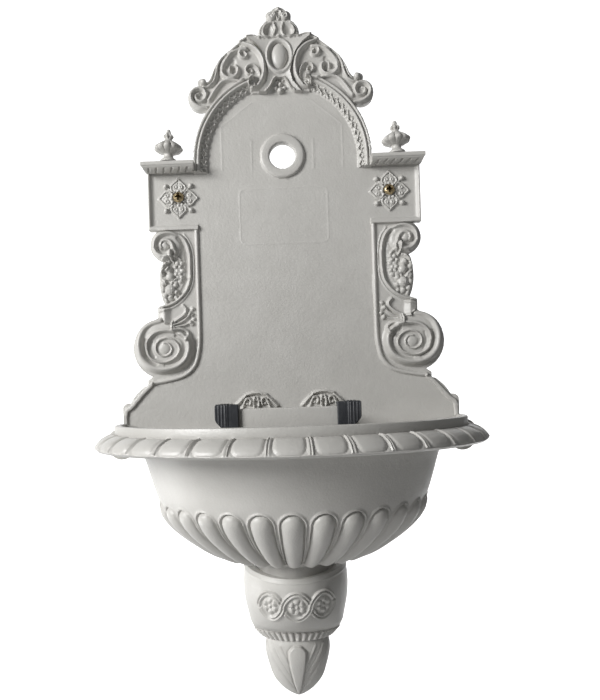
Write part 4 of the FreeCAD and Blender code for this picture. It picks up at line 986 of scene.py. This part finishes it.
# %% [markdown]
# ## Urns
# A small lobed urn stands on each cornice. It is turned from one profile, and the body between the foot
# and the neck is then cut in between its lobes. Pointed leaves close round the knob in the same way.

# %% Turn the urns
URN = through([(0.01, 0), (9.6, 0), (9.8, 0.8), (9.5, 2.2), (8.6, 3.4), (6.6, 4.8), (5.5, 6.2), (5.4, 7.6),
               (5.9, 9.1), (8.6, 10.3), (11.8, 11.6), (14.9, 13.1), (16.3, 14.9), (16.1, 16.4), (15.0, 17.7),
               (11.9, 20.0), (8.4, 22.2), (5.4, 23.9), (4.2, 25.3), (4.5, 26.8), (5.6, 28.0), (6.0, 29.0),
               (5.4, 30.2), (4.0, 31.4), (3.0, 32.7), (2.6, 34.5), (1.7, 36.3), (0.01, 37.2)], 0.4)
urns = []
around = np.linspace(0, 2 * math.pi, 199)[:-1]
# The urns aren't set quite upright: both lean a little towards the middle, the right one more.
for side, word, lean in ((1, "right", -2.9), (-1, "left", 1.7)):
    rings = []
    for radius, level in URN * (1, 1.03):
        lobed = unit(min((level - 9.5) / 2.5, (24.5 - level) / 5.0))
        leafy = unit(min((level - 26.0) / 1.5, (35.0 - level) / 2.0))
        wave = np.abs(np.sin(around * 5.5 + 0.3)) ** 0.55
        leaf_wave = np.abs(np.sin(around * 3 + 0.5 + 0.4 * (level > 31.4)))
        r = radius * (1 - 0.17 * lobed * (1 - wave) - 0.34 * leafy * (1 - leaf_wave))
        rings.append(np.stack([r * np.cos(around), r * np.sin(around), np.full_like(around, level)], axis=1))
    rings = np.array(rings)
    tilt = math.radians(lean)
    x, level = rings[..., 0].copy(), rings[..., 2].copy()
    rings[..., 0] = x * math.cos(tilt) + level * math.sin(tilt) + side * 129.5
    rings[..., 2] = np.maximum(level * math.cos(tilt) - x * math.sin(tilt), 0) + TOP_Z
    rings[..., 1] -= 17.0
    urns.append(skin("finial_urn_" + word, rings))

# %% [markdown]
# ## The bucket rest
# Two arms come out of the palmettes and carry a flat bar, and a moulded rubber cap is pushed on each end
# of it. The castings are boxes with worn, rounded edges; the caps have ribs all round for grip.

# %% Bar, arms and caps
rest = rounded_box("bucket_rest_bar", (-71.5, -96, -311), (69.5, -84, -287), 1.6)
arms = []
for side, word in SIDES:
    middle = side * ARM_X
    arms.append(rounded_box("bucket_rest_arm_" + word,
                            (middle - 7, -86, -308), (middle + 7, -6.5, -290), 2.2))
caps = []
CAP_SHIFT = -1.5
inner, outer = 49.6, 73.8
low, top, back, front = -315.5, -281.6, -79.5, -100.5
for side, word in SIDES:
    profile_rows = []
    for x in np.concatenate([[inner, inner + 0.4, inner + 1.0], np.arange(inner + 1.4, outer - 1.3, 0.4),
                             [outer - 1.2, outer - 0.5, outer]]):
        pull = max(0.0, 1.0 - (x - inner) / 1.0, 1.3 - (outer - x)) * 0.9
        # The outer half is a little fuller and ribbed; small teeth stand on its top.
        ribbed = unit((x - inner - 10.5) / 0.6)
        rib = 0.45 * ribbed * max(0.0, math.sin((outer - x) / 3.3 * 2 * math.pi))
        corner = 16.5 * max(0.0, (x - (outer - 15.0)) / 15.0)
        teeth = 0.7 * (abs((x - inner + 0.6) % 3.4 - 1.7) < 0.6) * (inner + 5 < x < outer - 6)
        y0 = back - pull - 0.5 + 0.4 * ribbed
        z0, z1 = low + pull + corner, top - pull - 0.7 + teeth + 0.3 * ribbed
        y1 = front + pull + 0.6 - 0.5 * ribbed - rib
        ring_points = []
        cap_corners = ((y0 - 2, z1 - 2), (y1 + 2, z1 - 2), (y1 + 2, z0 + 2), (y0 - 2, z0 + 2))
        for start, (cy, cz) in zip((0, 90, 180, 270), cap_corners):
            for k in range(7):
                a = math.radians(start + 15 * k)
                ring_points.append((side * x + CAP_SHIFT, cy + 2 * math.cos(a), cz + 2 * math.sin(a)))
        profile_rows.append(ring_points)
    caps.append(skin("rest_cap_" + word, profile_rows))
print("caps", len(caps))

# %% [markdown]
# ## Screws that show
# Two brass screws hold the plate to the wall through the rosettes, and one holds the cover. Each has a
# domed head with a cross recess. All three are made from one set of rings, moved and sized.

# %% Three brass screws from one set of rings
HEAD = through([(0.01, 3.4), (1.6, 3.3), (3.4, 2.7), (5.0, 1.5), (5.9, 0.2), (6.0, -0.4), (5.4, -0.8),
                (3.0, -3.2), (2.95, -8), (2.9, -20), (0.01, -21)], 0.35)
rings = []
around = np.linspace(0, 2 * math.pi, 97)[:-1]
for radius, out in HEAD:
    x, z = radius * np.cos(around), radius * np.sin(around)
    arm = np.minimum(np.abs(x), np.abs(z))
    recess = 3.2 * unit((1.35 - arm) / 0.3) * unit((3.9 - radius) / 0.6) * (out > 1.5)
    rings.append(np.stack([x, -(out - recess), z], axis=1))
screw_rings = np.array(rings)
wall_screws = []
for side, word in SIDES:
    wall_screws.append(skin("wall_screw_" + word, screw_rings + (side * SCREW_X, -10.2, SCREW_Z)))
SMALLER, COVER_SCREW_Z = 0.75, -498
cover_screw = skin("cover_screw_head", screw_rings * SMALLER + (0, -6.2, COVER_SCREW_Z))

# Painted shade in the cross recess: the recess is marked on the mesh, and the finish reads the mark and
# paints it dark.
MIDDLES = ((SCREW_X, SCREW_Z, 1), (-SCREW_X, SCREW_Z, 1), (0, COVER_SCREW_Z, SMALLER))
for piece, (x, z, size_share) in zip(wall_screws + [cover_screw], MIDDLES):
    places = np.empty(len(piece.data.vertices) * 3)
    piece.data.vertices.foreach_get("co", places)
    places = places.reshape(-1, 3) / MM - (x, 0, z)
    arm = np.minimum(np.abs(places[:, 0]), np.abs(places[:, 2])) / size_share
    reach_out = np.hypot(places[:, 0], places[:, 2]) / size_share
    mark = unit((1.25 - arm) / 0.6) * unit((3.5 - reach_out) / 0.8)
    attribute = piece.data.attributes.new("painted_cross_shade", "FLOAT", "POINT")
    attribute.data.foreach_set("value", mark)
print("screws that show:", len(wall_screws) + 1)

# %% [markdown]
# ## Paint, brass and rubber
# The castings carry one coat of thick off-white paint: its surface is slightly uneven like orange peel, and
# its tone and its shine vary a little over each casting. Shader maths is written as plain expressions with
# one small class.

# %% Shader maths
class Value:
    """A socket that adds, multiplies and subtracts as a number does."""

    def __init__(self, tree, socket):
        self.tree, self.socket = tree, socket

    def node(self, kind, settings=None, **inputs):
        node = self.tree.nodes.new(kind)
        for key, value in (settings or {}).items():
            setattr(node, key, value)
        for key, value in inputs.items():
            slot = node.inputs[int(key[1:])] if key[1:].isdigit() else node.inputs[key.replace("_", " ")]
            if isinstance(value, Value):
                self.tree.links.new(value.socket, slot)
            else:
                slot.default_value = value
        return node

    def maths(self, operation, *values):
        inputs = {f"i{n}": value for n, value in enumerate(values)}
        node = self.node("ShaderNodeMath", {"operation": operation}, **inputs)
        return Value(self.tree, node.outputs[0])

    def __add__(self, other):
        return self.maths("ADD", self, other)

    def __radd__(self, other):
        return self.maths("ADD", other, self)

    def __sub__(self, other):
        return self.maths("SUBTRACT", self, other)

    def __rsub__(self, other):
        return self.maths("SUBTRACT", other, self)

    def __mul__(self, other):
        return self.maths("MULTIPLY", self, other)

    def __rmul__(self, other):
        return self.maths("MULTIPLY", other, self)

    def over(self, low, high):
        """0 below low, 1 above high, and a ramp between."""
        node = self.node("ShaderNodeMapRange", {"clamp": True}, Value=self, From_Min=low, From_Max=high)
        return Value(self.tree, node.outputs["Result"])

    def between(self, first, second):
        """A colour between two, by this value."""
        node = self.node("ShaderNodeMix", {"data_type": "RGBA"}, i0=self)
        for slot, colour in ((node.inputs[6], first), (node.inputs[7], second)):
            if isinstance(colour, Value):
                self.tree.links.new(colour.socket, slot)
            else:
                slot.default_value = (*colour, 1)
        return Value(self.tree, node.outputs[2])


def finish_of(name, build, **constants):
    """A material: build links what varies, and constants go straight on the shader."""
    material = bpy.data.materials.new(name)
    material.use_nodes = True
    tree = material.node_tree
    shader = tree.nodes["Principled BSDF"]
    for key, value in constants.items():
        shader.inputs[key.replace("_", " ")].default_value = value
    place = Value(tree, tree.nodes.new("ShaderNodeTexCoord").outputs["Object"])

    def noise(scale, detail=2.0, roughness=0.5):
        node = place.node("ShaderNodeTexNoise", Vector=place, Scale=scale,
                          Detail=detail, Roughness=roughness)
        return Value(tree, node.outputs["Fac"])

    def set_to(**links):
        for key, value in links.items():
            tree.links.new(value.socket, shader.inputs[key.replace("_", " ")])

    def relief(height, depth, strength=1.0):
        node = place.node("ShaderNodeBump", Height=height, Distance=depth, Strength=strength)
        tree.links.new(node.outputs["Normal"], shader.inputs["Normal"])

    build(noise, set_to, relief)
    return material


# %% The finishes
def paint(noise, set_to, relief):
    peel = noise(420.0, 3.0, 0.6)
    mottle = noise(38.0, 4.0, 0.6)
    broad = noise(7.0, 2.0)
    tone = mottle * 0.5 + broad * 0.5
    set_to(Base_Color=tone.over(0.3, 0.7).between((0.44, 0.43, 0.405), (0.50, 0.49, 0.465)),
           Roughness=peel * 0.12 + mottle * 0.10 + 0.29)
    relief(peel * 0.6 + noise(130.0, 2.0) * 0.4, 0.0009, 0.62)


def brass(noise, set_to, relief):
    stain = noise(900.0, 4.0, 0.65)
    brass_colour = stain.over(0.35, 0.65).between((0.42, 0.33, 0.19), (0.58, 0.47, 0.29))
    # Painted shade: points the mesh marks as lying in the cross recess are painted near-black.
    mark = stain.node("ShaderNodeAttribute", {"attribute_name": "painted_cross_shade"})
    set_to(Base_Color=Value(stain.tree, mark.outputs["Fac"]).between(brass_colour, (0.05, 0.038, 0.02)),
           Roughness=stain * 0.25 + 0.25)
    relief(stain, 0.0003, 0.3)


def steel(grain, dark, light, dulling, least_dull, strength):
    """A bare steel whose colour, dullness and surface all follow one fine grain."""
    def build(noise, set_to, relief):
        lines = noise(*grain)
        set_to(Base_Color=lines.over(0.3, 0.7).between(dark, light), Roughness=lines * dulling + least_dull)
        relief(lines, 0.0002, strength)
    return build


def rubber(noise, set_to, relief):
    grain = noise(1500.0, 3.0, 0.6)
    dust = noise(60.0, 4.0, 0.6)
    set_to(Base_Color=dust.over(0.4, 0.75).between((0.021, 0.023, 0.027), (0.045, 0.047, 0.052)),
           Roughness=grain * 0.15 + 0.38)
    relief(grain, 0.0003, 0.4)


painted_casting = finish_of("painted_casting", paint, IOR=1.5)
brass_finish = finish_of("screw_brass", brass, Metallic=1.0)
zinc = steel((500.0, 3.0), (0.52, 0.53, 0.54), (0.66, 0.67, 0.68), 0.2, 0.28, 0.25)
satin = steel((260.0, 4.0, 0.7), (0.60, 0.61, 0.62), (0.70, 0.71, 0.71), 0.18, 0.18, 0.2)
plated_finish = finish_of("plated_steel", zinc, Metallic=1.0)
drain_finish = finish_of("drain_steel", satin, Metallic=1.0)
rubber_finish = finish_of("black_rubber", rubber)
print("finishes:", len(bpy.data.materials))

# %% Dress the pieces
def dress(piece, material, slot_name, *nodes):
    piece.data.materials.clear()
    piece.data.materials.append(material)
    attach(piece, "root")
    if nodes:
        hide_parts(*nodes)


CASTINGS = [(casting, "back_plate"), (bowl, "bowl"), (siphon_cover, "siphon_cover"), (bridge,),
            (rest, "bucket_rest"), (arms[0],), (arms[1],), (cornices[0],), (cornices[1],),
            (urns[0], "finial_right"), (urns[1], "finial_left")]
for piece, *nodes in CASTINGS:
    dress(piece, painted_casting, "painted_casting", *nodes)
dress(caps[0], rubber_finish, "black_rubber", "end_cap_right")
dress(caps[1], rubber_finish, "black_rubber", "end_cap_left")
dress(wall_screws[0], brass_finish, "brass_screw", "wall_screws")
dress(wall_screws[1], brass_finish, "brass_screw")
dress(cover_screw, brass_finish, "brass_screw", "cover_screw")
KEPT = ((plated_finish, ("finial_studs", "bowl_bolts", "bowl_washers", "bowl_nuts", "rest_bolts")),
        (rubber_finish, ("drain_gasket_upper", "drain_gasket_lower")),
        (drain_finish, ("drain_grid", "drain_body", "drain_screw")))
for material, names in KEPT:
    for name in names:
        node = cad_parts[name]
        node.data.materials.clear()
        node.data.materials.append(material)

# %% [markdown]
# ## Studio
# The picture was taken against a bright white ground, with one soft window of light from the upper left.
# Three weak lights soften its shadows. The camera stands three quarters of a metre from the wall, a little
# above the bowl's rim.

# %% Floor, lights and camera
def sheet(name, left, right, near, far, grey, glow):
    """A flat part of the studio, between two sides and two edges (y, z) in metres."""
    part = fresh(name, bpy.ops.mesh.primitive_plane_add, size=1)
    corners = [(x, *edge_at) for edge_at in (near, far) for x in (left, right)]
    for vertex, corner in zip(part.data.vertices, corners):
        vertex.co = corner
    plain = bpy.data.materials.new(name)
    plain.use_nodes = True
    shader = plain.node_tree.nodes["Principled BSDF"]
    shader.inputs["Base Color"].default_value = (grey, grey, grey, 1)
    shader.inputs["Roughness"].default_value = 0.9
    shader.inputs["Emission Color"].default_value = (1, 1, 1, 1)
    shader.inputs["Emission Strength"].default_value = glow
    part.data.materials.append(plain)


FLOOR_Z, BRIGHT_FROM, WALL_AT = -1.30, 1.15, 3.0
sheet("studio_floor", -6, 6, (-5, FLOOR_Z), (BRIGHT_FROM, FLOOR_Z), 0.72, 0.0)
sheet("studio_ground_behind", -4, 2, (BRIGHT_FROM, FLOOR_Z), (WALL_AT, FLOOR_Z), 0.8, 1.0)
sheet("studio_wall", -4, 2, (WALL_AT, FLOOR_Z), (WALL_AT, 2.6), 0.8, 1.0)

world = bpy.data.worlds.new("white_room")
bpy.context.scene.world = world
world.use_nodes = True
background = world.node_tree.nodes["Background"]
background.inputs["Color"].default_value = (0.97, 0.985, 1.0, 1)
background.inputs["Strength"].default_value = 0.10


def soft_light(name, place, aim, size, watts):
    light = bpy.data.lights.new(name, "AREA")
    light.shape = "SQUARE"
    light.size = size
    light.energy = watts
    lamp = bpy.data.objects.new(name, light)
    bpy.context.collection.objects.link(lamp)
    facing = (Vector(aim) - Vector(place)).to_track_quat("-Z", "Y")
    lamp.matrix_world = Matrix.Translation(place) @ facing.to_matrix().to_4x4()


soft_light("window_left", (-1.55, -1.15, 0.42), (0, 0, -0.2), 0.8, 54)
soft_light("window_low", (-1.5, 0.33, -0.95), (-0.1, -0.1, -0.4), 0.5, 5.0)
soft_light("fill_right", (1.2, -1.3, 1.3), (0, 0, -0.3), 0.9, 3.5)
soft_light("fill_front", (-0.9, -1.3, -1.1), (0, -0.1, -0.45), 0.5, 1.6)

camera_data = bpy.data.cameras.new("camera")
camera_data.sensor_width = 36
camera_data.lens = 648.1 / 700 * 36
camera_data.shift_x = 0.0238
camera_data.shift_y = 0.0579
camera_data.clip_start = 0.01
camera = bpy.data.objects.new("camera", camera_data)
bpy.context.collection.objects.link(camera)
camera.matrix_world = (Matrix.Translation((0.0070, -0.750, -0.2726)) @ Matrix.Rotation(0.0192, 4, "Z")
                       @ Matrix.Rotation(math.pi / 2 + 0.00436, 4, "X") @ Matrix.Rotation(-0.0312, 4, "Z"))
bpy.context.scene.camera = camera
bpy.context.scene.view_settings.view_transform = "Standard"
print("lights:", len(bpy.data.lights))
